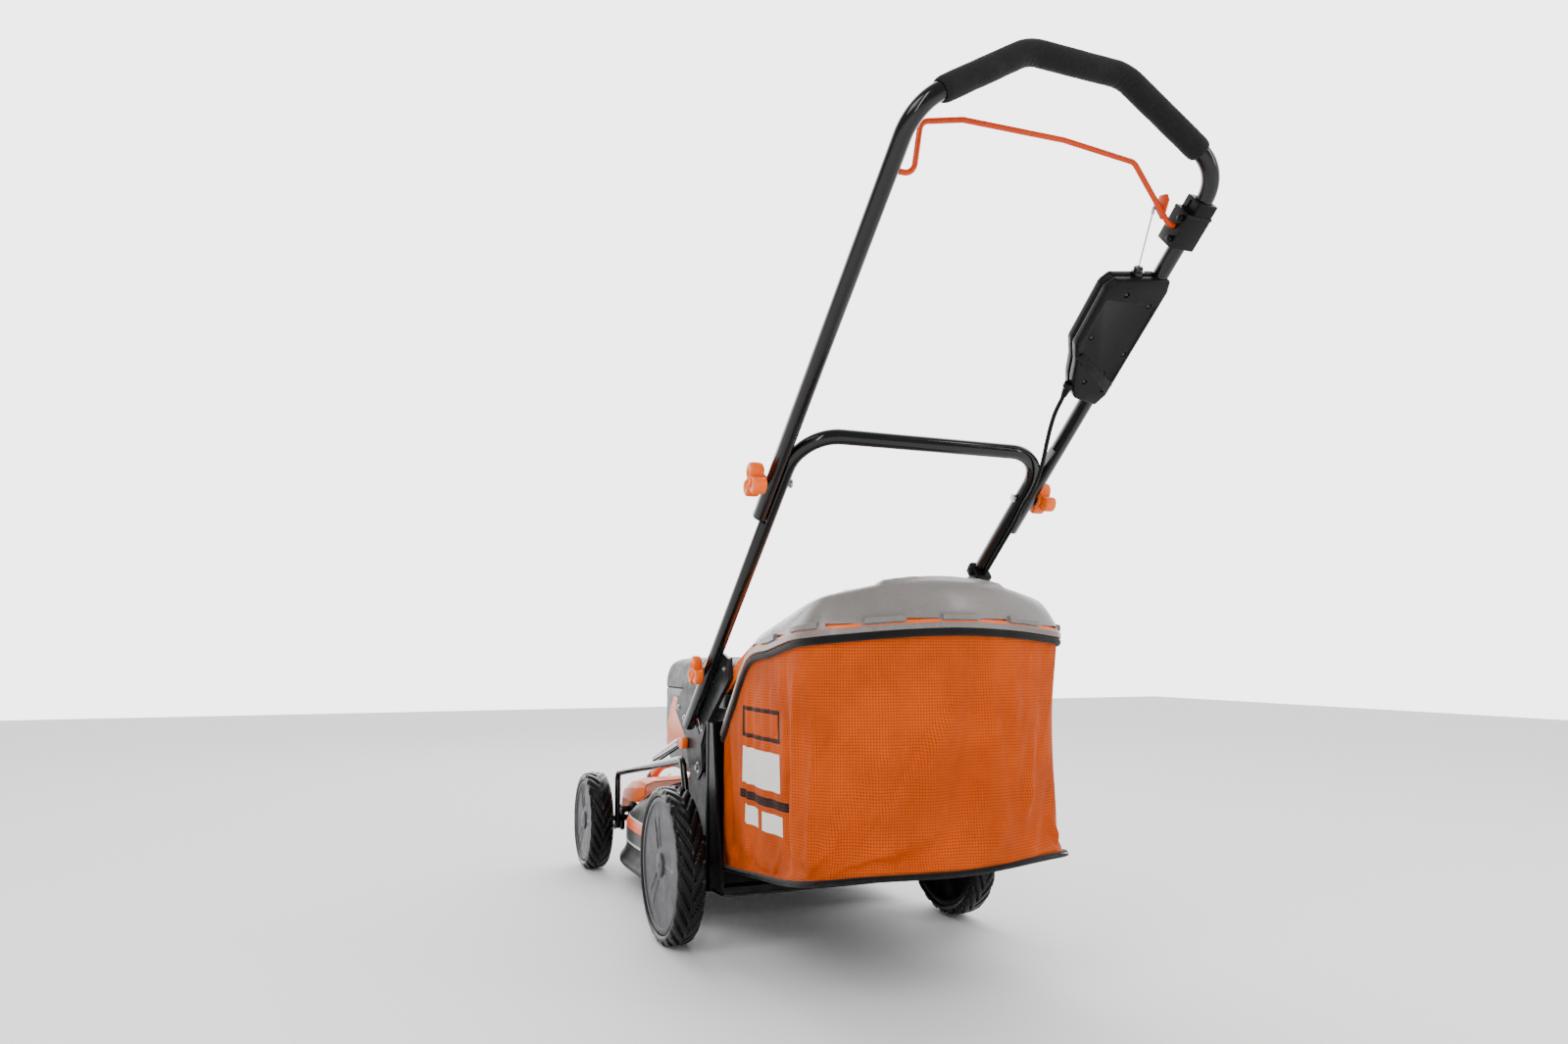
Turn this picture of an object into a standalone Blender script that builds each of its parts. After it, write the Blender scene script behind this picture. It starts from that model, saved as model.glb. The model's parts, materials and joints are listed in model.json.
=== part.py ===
"""Cordless rotary push mower with a rear grass bag: all solid pieces, in metres, +Z up.

+X is the mower's right side, +Y the direction of travel and Z = 0 the ground.  Every piece is
modelled in the rear-axle frame, where Y = 0 is the rear wheel axle, and hangs from one empty that
carries that frame into place, so the part is centred on its origin.
"""
import math

import bpy
import bmesh
from mathutils import Matrix, Vector

# ---------------------------------------------------------------- driving dimensions
REAR_AXLE_Y = 0.0158          # the rear axle's place in the part's own frame
GAP = 0.0004                  # air between pieces that touch
WHEELBASE = 0.5523
REAR_RADIUS, FRONT_RADIUS = 0.1085, 0.0888
REAR_TRACK = (0.2095, 0.2498)         # |x| of a rear tyre's inner and outer faces
FRONT_TRACK = (0.2051, 0.2477)
ROUND = 24                    # sides of a wheel, with a flat one on the ground
AXLE_R = 0.006

# crank pivots: the wheel axle hangs behind (rear) or ahead (front) of and below its pivot
CRANK_REACH, CRANK_DROP = 0.0473, 0.0232
LINK_ARM = 0.030
ARM_X = (0.178, 0.184)        # the plane of the crank arms
LINK_X = 0.1905               # the plane of the link bar

DECK_CENTRE_Y = 0.330
DECK_HALF = 0.195             # half width of the deck at its rear, and reach of its front past DECK_CENTRE_Y
DECK_FRONT_HALF = 0.200       # half width where the front starts to curve
DECK_SQUARENESS = 3.0         # exponent of the wall's rounded-square front; the top is a plain ellipse
DECK_REAR_Y = 0.135
DECK_SKIRT_Z, DECK_WALL_Z, DECK_TOP_Z = 0.036, 0.105, 0.168
SHEET = 0.003                 # thickness of deck and duct walls
BLADE_HALF = 0.183

HANDLE_FOOT_Y = 0.4437        # a handle leg's line reaches the ground at this Y
LEG_ALONG = Vector((0, -0.7649, 0.6442))      # up along a handle leg
LEG_NORMAL = Vector((0, 0.6442, 0.7649))      # square to it, up and forward
TUBE_R = 0.0097
LOWER_X, UPPER_X = 0.178, 0.190               # |x| of the lower and upper handle legs
LAP_X = 0.1827                                # where the flattened ends of the two legs meet
TILT_S, FOLD_S = 0.5891, 0.9593               # distances along a leg: tilt bolt and fold bolt
LOWER_END_S, CROSSBAR_S = 0.4600, 1.0385
UPPER_END_S, HANDLE_BEND_S = 0.9020, 1.4400
GRIP_R, GRIP_HALF_X = 0.0135, 0.158
BAIL_S, BAIL_R = 1.3720, 0.0031
CABLE_R = 0.0028

PLATE_X = (0.150, 0.156)      # rear frame's side plates
BRACKET_X = (0.164, 0.168)    # steel handle brackets
FLAP_AXIS = (0.002, 0.358)    # rear flap's rod, as Y and Z
HOOD_HALF, HOOD_FLOOR_Z, HOOD_SPLIT_Z, HOOD_TOP_Z = 0.120, 0.200, 0.343, 0.398
HOOD_Y = (0.065, 0.455)
LID_AXIS = (HOOD_Y[0] + 0.0005, HOOD_SPLIT_Z + 0.0001)   # the lid's hinge line, at its rear lower edge

# ---------------------------------------------------------------- colours
PAINTS = {  # colour, roughness, metallic
    "black_plastic": ((0.018, 0.018, 0.019), 0.55, 0.0),
    "grey_plastic": ((0.085, 0.088, 0.092), 0.50, 0.0),
    "dark_grey": ((0.045, 0.047, 0.050), 0.50, 0.0),
    "lid_grey": ((0.300, 0.285, 0.280), 0.45, 0.0),
    "cap_grey": ((0.135, 0.130, 0.155), 0.50, 0.0),
    "orange": ((0.850, 0.130, 0.010), 0.45, 0.0),
    "orange_cloth": ((0.780, 0.150, 0.010), 0.90, 0.0),
    "black_paint": ((0.012, 0.012, 0.013), 0.25, 0.0),
    "rubber": ((0.020, 0.020, 0.021), 0.80, 0.0),
    "foam": ((0.022, 0.022, 0.023), 0.95, 0.0),
    "steel": ((0.550, 0.550, 0.560), 0.30, 1.0),
    "copper": ((0.450, 0.180, 0.080), 0.40, 1.0),
    "green_board": ((0.020, 0.120, 0.040), 0.60, 0.0),
}


# ---------------------------------------------------------------- scene helpers
def clear_scene():
    for obj in list(bpy.data.objects):
        bpy.data.objects.remove(obj, do_unlink=True)


def paint(name, key):
    colour, roughness, metallic = PAINTS[key]
    mat = bpy.data.materials.new(name)
    mat.use_nodes = True
    shader = mat.node_tree.nodes["Principled BSDF"]
    shader.inputs["Base Color"].default_value = (*colour, 1.0)
    shader.inputs["Roughness"].default_value = roughness
    shader.inputs["Metallic"].default_value = metallic
    mat.diffuse_color = (*colour, 1.0)
    return mat


def link_object(name, data):
    obj = bpy.data.objects.new(name, data)
    bpy.context.scene.collection.objects.link(obj)
    return obj


def solid(name, loops, ring=False):
    """A closed body skinned over loops of points; a ring's last loop joins its first."""
    bm = bmesh.new()
    rows = [[bm.verts.new(Vector(p)) for p in loop] for loop in loops]
    count = len(rows[0])
    pairs = list(zip(rows, rows[1:]))
    if ring:
        pairs.append((rows[-1], rows[0]))
    for low, high in pairs:
        for i in range(count):
            k = (i + 1) % count
            bm.faces.new((low[i], low[k], high[k], high[i]))
    if not ring:
        bm.faces.new(list(reversed(rows[0])))
        bm.faces.new(rows[-1])
    bmesh.ops.recalc_face_normals(bm, faces=bm.faces)
    mesh = bpy.data.meshes.new(name)
    bm.to_mesh(mesh)
    bm.free()
    return link_object(name, mesh)


def evaluated(obj):
    """Replace an object's mesh by what its modifiers make of it."""
    graph = bpy.context.evaluated_depsgraph_get()
    mesh = bpy.data.meshes.new_from_object(obj.evaluated_get(graph))
    obj.modifiers.clear()
    obj.data = mesh
    return obj


def combine(obj, other, operation):
    """Join another solid to this one, or cut it away, and drop the other."""
    step = obj.modifiers.new("Boolean", "BOOLEAN")
    step.operation = operation
    step.object = other
    step.solver = "EXACT"
    bpy.context.view_layer.update()
    evaluated(obj)
    bpy.data.objects.remove(other, do_unlink=True)
    return obj


def join(obj, *others):
    for other in others:
        combine(obj, other, "UNION")
    return obj


def cut(obj, *others):
    for other in others:
        combine(obj, other, "DIFFERENCE")
    return obj


def soften(obj, width, segments=1):
    step = obj.modifiers.new("Bevel", "BEVEL")
    step.width = width
    step.segments = segments
    step.limit_method = "ANGLE"
    step.angle_limit = math.radians(40)
    bpy.context.view_layer.update()
    return evaluated(obj)


# ---------------------------------------------------------------- shapes
def box(low, high, bevel=0.0):
    (x0, y0, z0), (x1, y1, z1) = low, high
    base = [(x0, y0), (x1, y0), (x1, y1), (x0, y1)]
    obj = solid("box", [[(x, y, z) for x, y in base] for z in (z0, z1)])
    return soften(obj, bevel) if bevel else obj


def prism_x(outline, x0, x1):
    """A plate square to X, from an outline of (Y, Z)."""
    return solid("plate", [[(x, y, z) for y, z in outline] for x in (x0, x1)])


def prism_y(outline, y0, y1):
    return solid("plate", [[(x, y, z) for x, z in outline] for y in (y0, y1)])


def circle_frame(axis):
    axis = Vector(axis).normalized()
    side = axis.orthogonal().normalized()
    return side, axis.cross(side)


def turned(profile, centre, axis, sides=16, phase=0.0, ring=False, start=None):
    """A body of revolution: profile of (distance along axis, radius), from one end to the other.
    With ring=True the profile is a closed outline that stays clear of the axis."""
    axis = Vector(axis).normalized()
    side, up = circle_frame(axis)
    if start is not None:
        side = Vector(start)
        up = axis.cross(side)
    centre = Vector(centre)
    loops = []
    for along, radius in profile:
        loop = []
        for i in range(sides):
            angle = phase + 2 * math.pi * i / sides
            loop.append(centre + axis * along + radius * (math.cos(angle) * side + math.sin(angle) * up))
        loops.append(loop)
    return solid("turned", loops, ring=ring)


def rod(a, b, radius, sides=12):
    a, b = Vector(a), Vector(b)
    return turned([(0, radius), ((b - a).length, radius)], a, b - a, sides)


def rounded_path(points, radius, steps=5):
    """A polyline whose corners are replaced by arcs of the given bend radius."""
    points = [Vector(p) for p in points]
    path = [points[0]]
    for before, corner, after in zip(points, points[1:], points[2:]):
        a, b = (before - corner).normalized(), (after - corner).normalized()
        half = a.angle(b) / 2
        reach = min(radius / math.tan(half), 0.48 * (before - corner).length, 0.48 * (after - corner).length)
        bend = reach * math.tan(half)
        centre = corner + (a + b).normalized() * math.hypot(bend, reach)
        first, last = corner + a * reach - centre, corner + b * reach - centre
        sweep = first.angle(last)
        for k in range(steps + 1):
            share = k / steps
            blend = math.sin((1 - share) * sweep) * first + math.sin(share * sweep) * last
            path.append(centre + blend / math.sin(sweep))
    path.append(points[-1])
    return path


def smooth_path(points, spacing):
    """A Catmull-Rom curve through hand-placed points, read at even parameter steps."""
    pts = [Vector(p) for p in points]
    pts = [2 * pts[0] - pts[1]] + pts + [2 * pts[-1] - pts[-2]]
    path = []
    for p0, p1, p2, p3 in zip(pts, pts[1:], pts[2:], pts[3:]):
        steps = max(1, round((p2 - p1).length / spacing))
        for k in range(steps):
            t = k / steps
            path.append(0.5 * (2 * p1 + (p2 - p0) * t + (2 * p0 - 5 * p1 + 4 * p2 - p3) * t * t
                               + (3 * p1 - p0 - 3 * p2 + p3) * t ** 3))
    path.append(pts[-2])
    return path


def path_frames(path):
    """Point, side and up vectors along a path, carried without twist."""
    frames = []
    side = None
    for i, point in enumerate(path):
        ahead = path[min(i + 1, len(path) - 1)] - point
        back = point - path[max(i - 1, 0)]
        along = (ahead.normalized() + back.normalized()).normalized()
        if side is None:
            side = along.orthogonal().normalized()
        side = (side - along * side.dot(along)).normalized()
        frames.append((point, side, along.cross(side)))
    return frames


def swept(path, radius, sides=10, hollow=0.0):
    """A round bar along a path, or a sleeve around it when hollow gives its bore's radius."""
    frames = path_frames(path)

    def loops(r, rows):
        made = []
        for point, side, up in rows:
            loop = []
            for i in range(sides):
                angle = 2 * math.pi * (i + 0.5) / sides
                loop.append(point + r * (math.cos(angle) * side + math.sin(angle) * up))
            made.append(loop)
        return made

    if not hollow:
        return solid("bar", loops(radius, frames))
    return solid("sleeve", loops(radius, frames) + loops(hollow, list(reversed(frames))), ring=True)


def slab(grid, offset):
    """A skin of even thickness over a grid of points; offset is a vector, or a grid of them."""
    rows, cols = len(grid), len(grid[0])
    bm = bmesh.new()
    top = [[bm.verts.new(Vector(p)) for p in row] for row in grid]
    under = []
    for i, row in enumerate(grid):
        under.append([])
        for j, p in enumerate(row):
            shift = offset[i][j] if isinstance(offset, list) else offset
            under[i].append(bm.verts.new(Vector(p) + Vector(shift)))
    for i in range(rows - 1):
        for j in range(cols - 1):
            bm.faces.new((top[i][j], top[i + 1][j], top[i + 1][j + 1], top[i][j + 1]))
            bm.faces.new((under[i][j], under[i][j + 1], under[i + 1][j + 1], under[i + 1][j]))
    edge = [(i, 0) for i in range(rows)]
    edge += [(rows - 1, j) for j in range(1, cols)]
    edge += [(i, cols - 1) for i in range(rows - 2, -1, -1)]
    edge += [(0, j) for j in range(cols - 2, 0, -1)]
    for (i, j), (k, m) in zip(edge, edge[1:] + edge[:1]):
        bm.faces.new((top[i][j], under[i][j], under[k][m], top[k][m]))
    bmesh.ops.recalc_face_normals(bm, faces=bm.faces)
    mesh = bpy.data.meshes.new("slab")
    bm.to_mesh(mesh)
    bm.free()
    return link_object("slab", mesh)


def leg_point(x, s, n=0.0):
    """A point beside a handle leg: s metres up along it from the ground, n square to it."""
    return Vector((x, HANDLE_FOOT_Y, 0)) + s * LEG_ALONG + n * LEG_NORMAL


def leg_prism(outline, n0, n1):
    """A plate lying along a handle leg, from an outline of (X, s), between two heights n."""
    return solid("plate", [[leg_point(x, s, n) for x, s in outline] for n in (n0, n1)])


def capsule(a, b, radius, steps=5):
    """Outline of a bar with round ends between two points of a plane."""
    a, b = Vector(a), Vector(b)
    along = (b - a).normalized()
    start = math.atan2(along.y, along.x)
    outline = []
    for centre, turn in ((b, start - math.pi / 2), (a, start + math.pi / 2)):
        for k in range(steps + 1):
            angle = turn + math.pi * k / steps
            outline.append((centre.x + radius * math.cos(angle), centre.y + radius * math.sin(angle)))
    return outline


# ---------------------------------------------------------------- placing
def keep(obj, name, colour, pivot=(0, 0, 0), smooth=35):
    """Name a finished piece, put its origin on its joint's axis and hang it from the frame."""
    pivot = Vector(pivot)
    obj.name = name
    obj.data.name = name
    obj.data.transform(Matrix.Translation(-pivot))
    obj.location = pivot
    obj.parent = FRAME
    obj.data.materials.clear()
    obj.data.materials.append(paint(name, colour))
    obj.data.shade_smooth()
    obj.data.set_sharp_from_angle(angle=math.radians(smooth))
    return obj


def both_sides(make):
    for side, word in ((-1, "left"), (1, "right")):
        make(side, word)


# ---------------------------------------------------------------- wheels and cranks
REAR_PIVOT = (CRANK_REACH, REAR_RADIUS + CRANK_DROP)
FRONT_PIVOT = (WHEELBASE - CRANK_REACH, FRONT_RADIUS + CRANK_DROP)


def wheel(place, side, radius, track, y):
    """Tyre, wheel disc with its hub, and the cap that covers it."""
    inner, outer = track
    hub = (side * inner, y, radius)
    axis = (side, 0, 0)
    width = outer - inner
    bead = radius - 0.0140
    facet = math.cos(math.pi / ROUND)
    full = radius / facet
    pivot = (0, y, radius)

    def wheel_ring(profile):
        return turned(profile, hub, axis, ROUND, math.pi / ROUND, ring=True, start=(0, 0, 1))

    tyre = wheel_ring([(0, bead), (width, bead), (width, full - 0.007), (width - 0.006, full),
                       (0.006, full), (0, full - 0.007)])
    keep(tyre, f"{place}_tyre", "rubber", pivot, smooth=25)

    face = width - 0.0062
    disc = wheel_ring([(0.004, AXLE_R + GAP), (face, AXLE_R + GAP), (face, 0.016), (0.022, 0.018),
                       (0.022, bead - 0.005), (face, bead - 0.0006), (0.003, bead - 0.0006),
                       (0.003, bead - 0.005), (0.016, bead - 0.010), (0.016, 0.018), (0.004, 0.016)])
    keep(disc, f"{place}_wheel_disc", "black_plastic", pivot)

    rim = bead - 0.0012
    cap = turned([(face + GAP, rim), (width - 0.0020, rim - 0.001), (width - 0.0040, rim - 0.008),
                  (width - 0.0040, 0.020), (width - 0.0005, 0.017)],
                 hub, axis, ROUND, math.pi / ROUND, start=(0, 0, 1))
    keep(cap, f"{place}_hubcap", "cap_grey", pivot)


def crank_axle(name, axle_y, axle_z, pivot, track):
    """A straight axle carried at both ends by arms that turn on stub pins."""
    end = track[1] - 0.0068
    axle = rod((-end, axle_y, axle_z), (end, axle_y, axle_z), AXLE_R)
    for side in (-1, 1):
        arm = prism_x(capsule((axle_y, axle_z), pivot, 0.0095), side * ARM_X[0], side * ARM_X[1])
        stub = rod((side * 0.142, *pivot), (side * (ARM_X[1] - 0.001), *pivot), AXLE_R)
        join(axle, arm, stub)
    return axle


def make_running_gear():
    def one_side(side, word):
        wheel(f"rear_{word}", side, REAR_RADIUS, REAR_TRACK, 0.0)
        wheel(f"front_{word}", side, FRONT_RADIUS, FRONT_TRACK, WHEELBASE)

    both_sides(one_side)

    rear = crank_axle("rear_axle", 0.0, REAR_RADIUS, REAR_PIVOT, REAR_TRACK)
    link_lobe = prism_x(capsule(REAR_PIVOT, (REAR_PIVOT[0], REAR_PIVOT[1] + LINK_ARM), 0.008),
                        -ARM_X[1], -ARM_X[0])
    join(rear, link_lobe)
    keep(rear, "rear_axle", "steel", (0, *REAR_PIVOT))

    front = crank_axle("front_axle", WHEELBASE, FRONT_RADIUS, FRONT_PIVOT, FRONT_TRACK)
    link_lobe = prism_x(capsule(FRONT_PIVOT, (FRONT_PIVOT[0], FRONT_PIVOT[1] - LINK_ARM), 0.008),
                        -ARM_X[1], -ARM_X[0])
    join(front, link_lobe)
    keep(front, "front_axle", "steel", (0, *FRONT_PIVOT))

    # the black bar that ties the two cranks together, with its ends beside the crank lobes
    foot_rear = (-LINK_X, REAR_PIVOT[0], REAR_PIVOT[1] + LINK_ARM - 0.004)
    foot_front = (-LINK_X, FRONT_PIVOT[0], FRONT_PIVOT[1] - LINK_ARM - 0.004)
    path = rounded_path([foot_rear, (-LINK_X, 0.082, 0.245), (-LINK_X, 0.509, 0.180), foot_front], 0.016, 4)
    keep(swept(path, 0.0042, 8), "height_link_bar", "black_paint")

    # the lever and its notched quadrant stand inside the right rear wheel
    top = (0.130, 0.292)
    lever = prism_x(capsule(REAR_PIVOT, top, 0.0065), 0.1975, 0.2010)
    root_boss = rod((ARM_X[1] + GAP, *REAR_PIVOT), (0.198, *REAR_PIVOT), 0.0062)
    knob = turned([(0, 0.006), (0.004, 0.010), (0.026, 0.0115), (0.034, 0.009), (0.036, 0.004)],
                  (0.1992, top[0] - 0.004, top[1] - 0.008), (0, 0.46, 0.888), 12)
    knob.data.transform(Matrix.Translation(Vector((0.1992, 0, 0))) @ Matrix.Diagonal((0.42, 1, 1, 1))
                        @ Matrix.Translation(Vector((-0.1992, 0, 0))))
    join(lever, root_boss, knob)
    keep(lever, "height_lever", "black_paint", (0, *REAR_PIVOT))


def make_quadrant():
    """The arc of height notches beside the lever, on feet that reach the side plate and bracket."""
    inner, outer = 0.124, 0.142
    first, last, steps = math.radians(34), math.radians(104), 14
    outline = []
    for k in range(steps + 1):
        angle = first + (last - first) * k / steps
        notch = 0.004 if k % 2 else 0.0
        outline.append((REAR_PIVOT[0] + (outer - notch) * math.cos(angle),
                        REAR_PIVOT[1] + (outer - notch) * math.sin(angle)))
    for k in range(steps, -1, -2):
        angle = first + (last - first) * k / steps
        outline.append((REAR_PIVOT[0] + inner * math.cos(angle), REAR_PIVOT[1] + inner * math.sin(angle)))
    plate = prism_x(outline, 0.1915, 0.1945)
    for degrees, root in ((44, PLATE_X[1] + GAP), (66, BRACKET_X[1] + GAP)):
        angle = math.radians(degrees)
        foot = (REAR_PIVOT[0] + 0.131 * math.cos(angle), REAR_PIVOT[1] + 0.131 * math.sin(angle))
        join(plate, rod((root, *foot), (0.1930, *foot), 0.0035, 8))
    keep(plate, "height_quadrant", "steel")


# ---------------------------------------------------------------- deck, frame and duct
def deck_loop(offset, z):
    """The deck's outline in plan: rounded-square front, straight sides, flat rear, grown by offset."""
    square = max(0.0, min(1.0, (DECK_TOP_Z - SHEET - z) / (DECK_TOP_Z - SHEET - DECK_WALL_Z)))
    power = 2.0 + (DECK_SQUARENESS - 2.0) * square
    half = DECK_HALF + offset
    wide = half + (DECK_FRONT_HALF - DECK_HALF) * square
    rear = DECK_REAR_Y - offset
    corner = 0.018
    loop = [(half - corner, rear, z), (half, rear + corner, z)]
    steps = 14
    for k in range(steps + 1):
        across, ahead = math.cos(math.pi * k / steps), math.sin(math.pi * k / steps)
        reach = (abs(across / wide) ** power + abs(ahead / half) ** power) ** (-1 / power)
        loop.append((reach * across, DECK_CENTRE_Y + reach * ahead, z))
    loop += [(-half, rear + corner, z), (-half + corner, rear, z)]
    return loop


def make_deck():
    shoulder = -0.045
    outer = [(0.011, DECK_SKIRT_Z), (0.011, DECK_SKIRT_Z + 0.010), (0.0, DECK_SKIRT_Z + 0.022),
             (0.0, DECK_WALL_Z), (-0.012, DECK_WALL_Z + 0.030), (shoulder, DECK_TOP_Z)]
    inner = [(shoulder, DECK_TOP_Z - SHEET), (-0.015, DECK_WALL_Z + 0.028), (-SHEET, DECK_WALL_Z),
             (-SHEET, DECK_SKIRT_Z + 0.020), (0.008, DECK_SKIRT_Z + 0.008), (0.008, DECK_SKIRT_Z)]
    bore = [(-0.172, DECK_TOP_Z), (-0.172, DECK_TOP_Z - SHEET)]
    loops = [deck_loop(*p) for p in outer + bore + inner]
    deck = solid("deck", loops, ring=True)
    chute = box((-0.138, 0.100, 0.103), (0.138, 0.205, 0.151))
    cut(deck, chute)
    for side in (-1, 1):
        low, high = sorted((side * 0.160, side * 0.168))
        ear = prism_x([(0.470, 0.100), (0.5165, 0.098), (0.5165, 0.122), (0.500, 0.126), (0.470, 0.126)], low, high)
        join(deck, ear)
        hole = rod((side * 0.155, *FRONT_PIVOT), (side * 0.175, *FRONT_PIVOT), AXLE_R + GAP)
        cut(deck, hole)
    keep(deck, "deck_shell", "black_plastic")


def make_shroud():
    """The orange front cover over the deck's nose and the front axle."""
    stations = [  # Y, half width, top, edge height
        (0.398, 0.168, 0.1750, 0.1490), (0.440, 0.171, 0.1760, 0.1330), (0.500, 0.172, 0.1680, 0.1285),
        (0.555, 0.170, 0.1500, 0.1270), (0.590, 0.164, 0.1320, 0.1080), (0.615, 0.150, 0.1080, 0.0870)]
    grid = []
    for y, half, top, edge in stations:
        row = []
        for x, z in ((-half, edge), (-half * 0.98, (edge + top) / 2 + 0.006), (-half * 0.90, top),
                     (0, top + 0.001),
                     (half * 0.90, top), (half * 0.98, (edge + top) / 2 + 0.006), (half, edge)):
            row.append((x, y, z))
        grid.append(row)
    offsets = [[Vector((0.003, 0, 0)), Vector((0.0027, 0, -0.002)), Vector((0.001, 0, -0.003)),
                Vector((0, 0, -0.003)),
                Vector((-0.001, 0, -0.003)), Vector((-0.0027, 0, -0.002)), Vector((-0.003, 0, 0))]
               for _ in stations]
    keep(slab(grid, offsets), "front_shroud", "orange")


def make_rear_frame():
    """Side plates, discharge duct, mouth plate, wings and the low rear bar, in one moulding.

    The mouth plate and the wings stand a little proud of each other, so no two faces lie in one plane."""
    lower_edge = [(0.148, 0.137), (0.134, 0.112), (0.134, 0.108), (0.072, 0.116), (0.064, 0.112),
                  (0.031, 0.112), (0.028, 0.1390), (-0.037, 0.1390), (-0.037, 0.308), (-0.010, 0.326)]
    rod_ear = [(-0.006, 0.364), (0.010, 0.364), (0.014, 0.326)]
    upper_edge = [(0.060, 0.326), (0.160, 0.210), (0.171, 0.170)]
    body = prism_x([(0.132, 0.1130), (0.068, 0.1435), (-0.038, 0.1440), (-0.038, 0.1410),
                    (0.068, 0.1405), (0.132, 0.1100)], -0.153, 0.153)
    roof = prism_x([(0.1720, 0.1710), (0.1580, 0.1925), (0.0620, 0.1925), (-0.0380, 0.2930),
                    (-0.0380, 0.2975), (0.0605, 0.1965), (0.1600, 0.1965), (0.1755, 0.1740)], -0.153, 0.153)
    plates = []
    for side in (-1, 1):
        low, high = sorted((side * PLATE_X[0], side * PLATE_X[1]))
        ear = rod_ear if side > 0 else []
        plate = prism_x(lower_edge + ear + upper_edge, low, high)
        cut(plate, rod((side * 0.130, *REAR_PIVOT), (side * 0.170, *REAR_PIVOT), AXLE_R + GAP))
        if side > 0:
            cut(plate, rod((0.140, *FLAP_AXIS), (0.170, *FLAP_AXIS), 0.0034))
        plates.append(plate)
        plates.append(rod((side * 0.152, 0.075, 0.233), (side * (BRACKET_X[0] - GAP), 0.075, 0.233), 0.008))
        plates.append(rod((side * 0.152, 0.060, 0.295), (side * (BRACKET_X[0] - GAP), 0.060, 0.295), 0.007))
    mouth = box((-0.190, -0.040, 0.084), (0.190, -0.034, 0.310))
    cut(mouth, box((-0.1520, -0.060, 0.1425), (0.1520, 0.0, 0.2950)))
    wings = []
    for side in (-1, 1):
        low, high = sorted((side * 0.1850, side * 0.1888))
        wings.append(prism_x([(-0.0365, 0.0850), (-0.1030, 0.0850), (-0.1030, 0.1000), (-0.0780, 0.1900),
                              (-0.0580, 0.3085), (-0.0365, 0.3085)], low, high))
    bar = box((-0.1870, -0.1040, 0.0840), (0.1870, -0.0950, 0.0930))
    join(mouth, *wings, bar)
    join(body, roof, *plates, mouth)

    keep(body, "rear_frame", "black_plastic")
    keep(rod((-0.1665, *FLAP_AXIS), (0.1545, *FLAP_AXIS), 0.003, 10), "flap_rod", "steel", (0, *FLAP_AXIS))


BRACKET_OUTLINE = [(-0.036, 0.407), (-0.063, 0.399), (-0.063, 0.368), (0.039, 0.298), (0.062, 0.268),
                   (0.054, 0.232), (0.076, 0.214), (0.108, 0.216), (0.134, 0.246), (0.148, 0.276),
                   (0.200, 0.313), (0.190, 0.333), (0.112, 0.372), (0.000, 0.412)]


def make_brackets():
    tilt = leg_point(0, TILT_S)

    def one(side, word):
        low, high = sorted((side * BRACKET_X[0], side * BRACKET_X[1]))
        plate = prism_x(BRACKET_OUTLINE, low, high)
        reach = (TILT_S - LOWER_END_S) - 0.012
        slot = []
        start = math.atan2(-LEG_ALONG.z, -LEG_ALONG.y)
        for radius, angles in ((reach + 0.006, range(-12, 13, 6)), (reach - 0.006, range(12, -13, -6))):
            for degrees in angles:
                angle = start + math.radians(degrees)
                slot.append((tilt.y + radius * math.cos(angle), tilt.z + radius * math.sin(angle)))
        cut(plate, prism_x(slot, side * 0.160, side * 0.172))
        cut(plate, rod((side * 0.155, tilt.y, tilt.z), (side * 0.175, tilt.y, tilt.z), 0.0040))
        if side < 0:
            cut(plate, rod((-0.155, *FLAP_AXIS), (-0.175, *FLAP_AXIS), 0.0034))
        keep(plate, f"handle_bracket_{word}", "dark_grey")

    both_sides(one)


# ---------------------------------------------------------------- hood, motor and battery
def rounded_box_loop(x, y0, y1, z, corner, steps=3):
    loop = []
    for cx, cy, start in ((x - corner, y0 + corner, -90), (x - corner, y1 - corner, 0),
                          (-x + corner, y1 - corner, 90), (-x + corner, y0 + corner, 180)):
        for k in range(steps + 1):
            angle = math.radians(start + 90 * k / steps)
            loop.append((cx + corner * math.cos(angle), cy + corner * math.sin(angle), z))
    return loop


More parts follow.
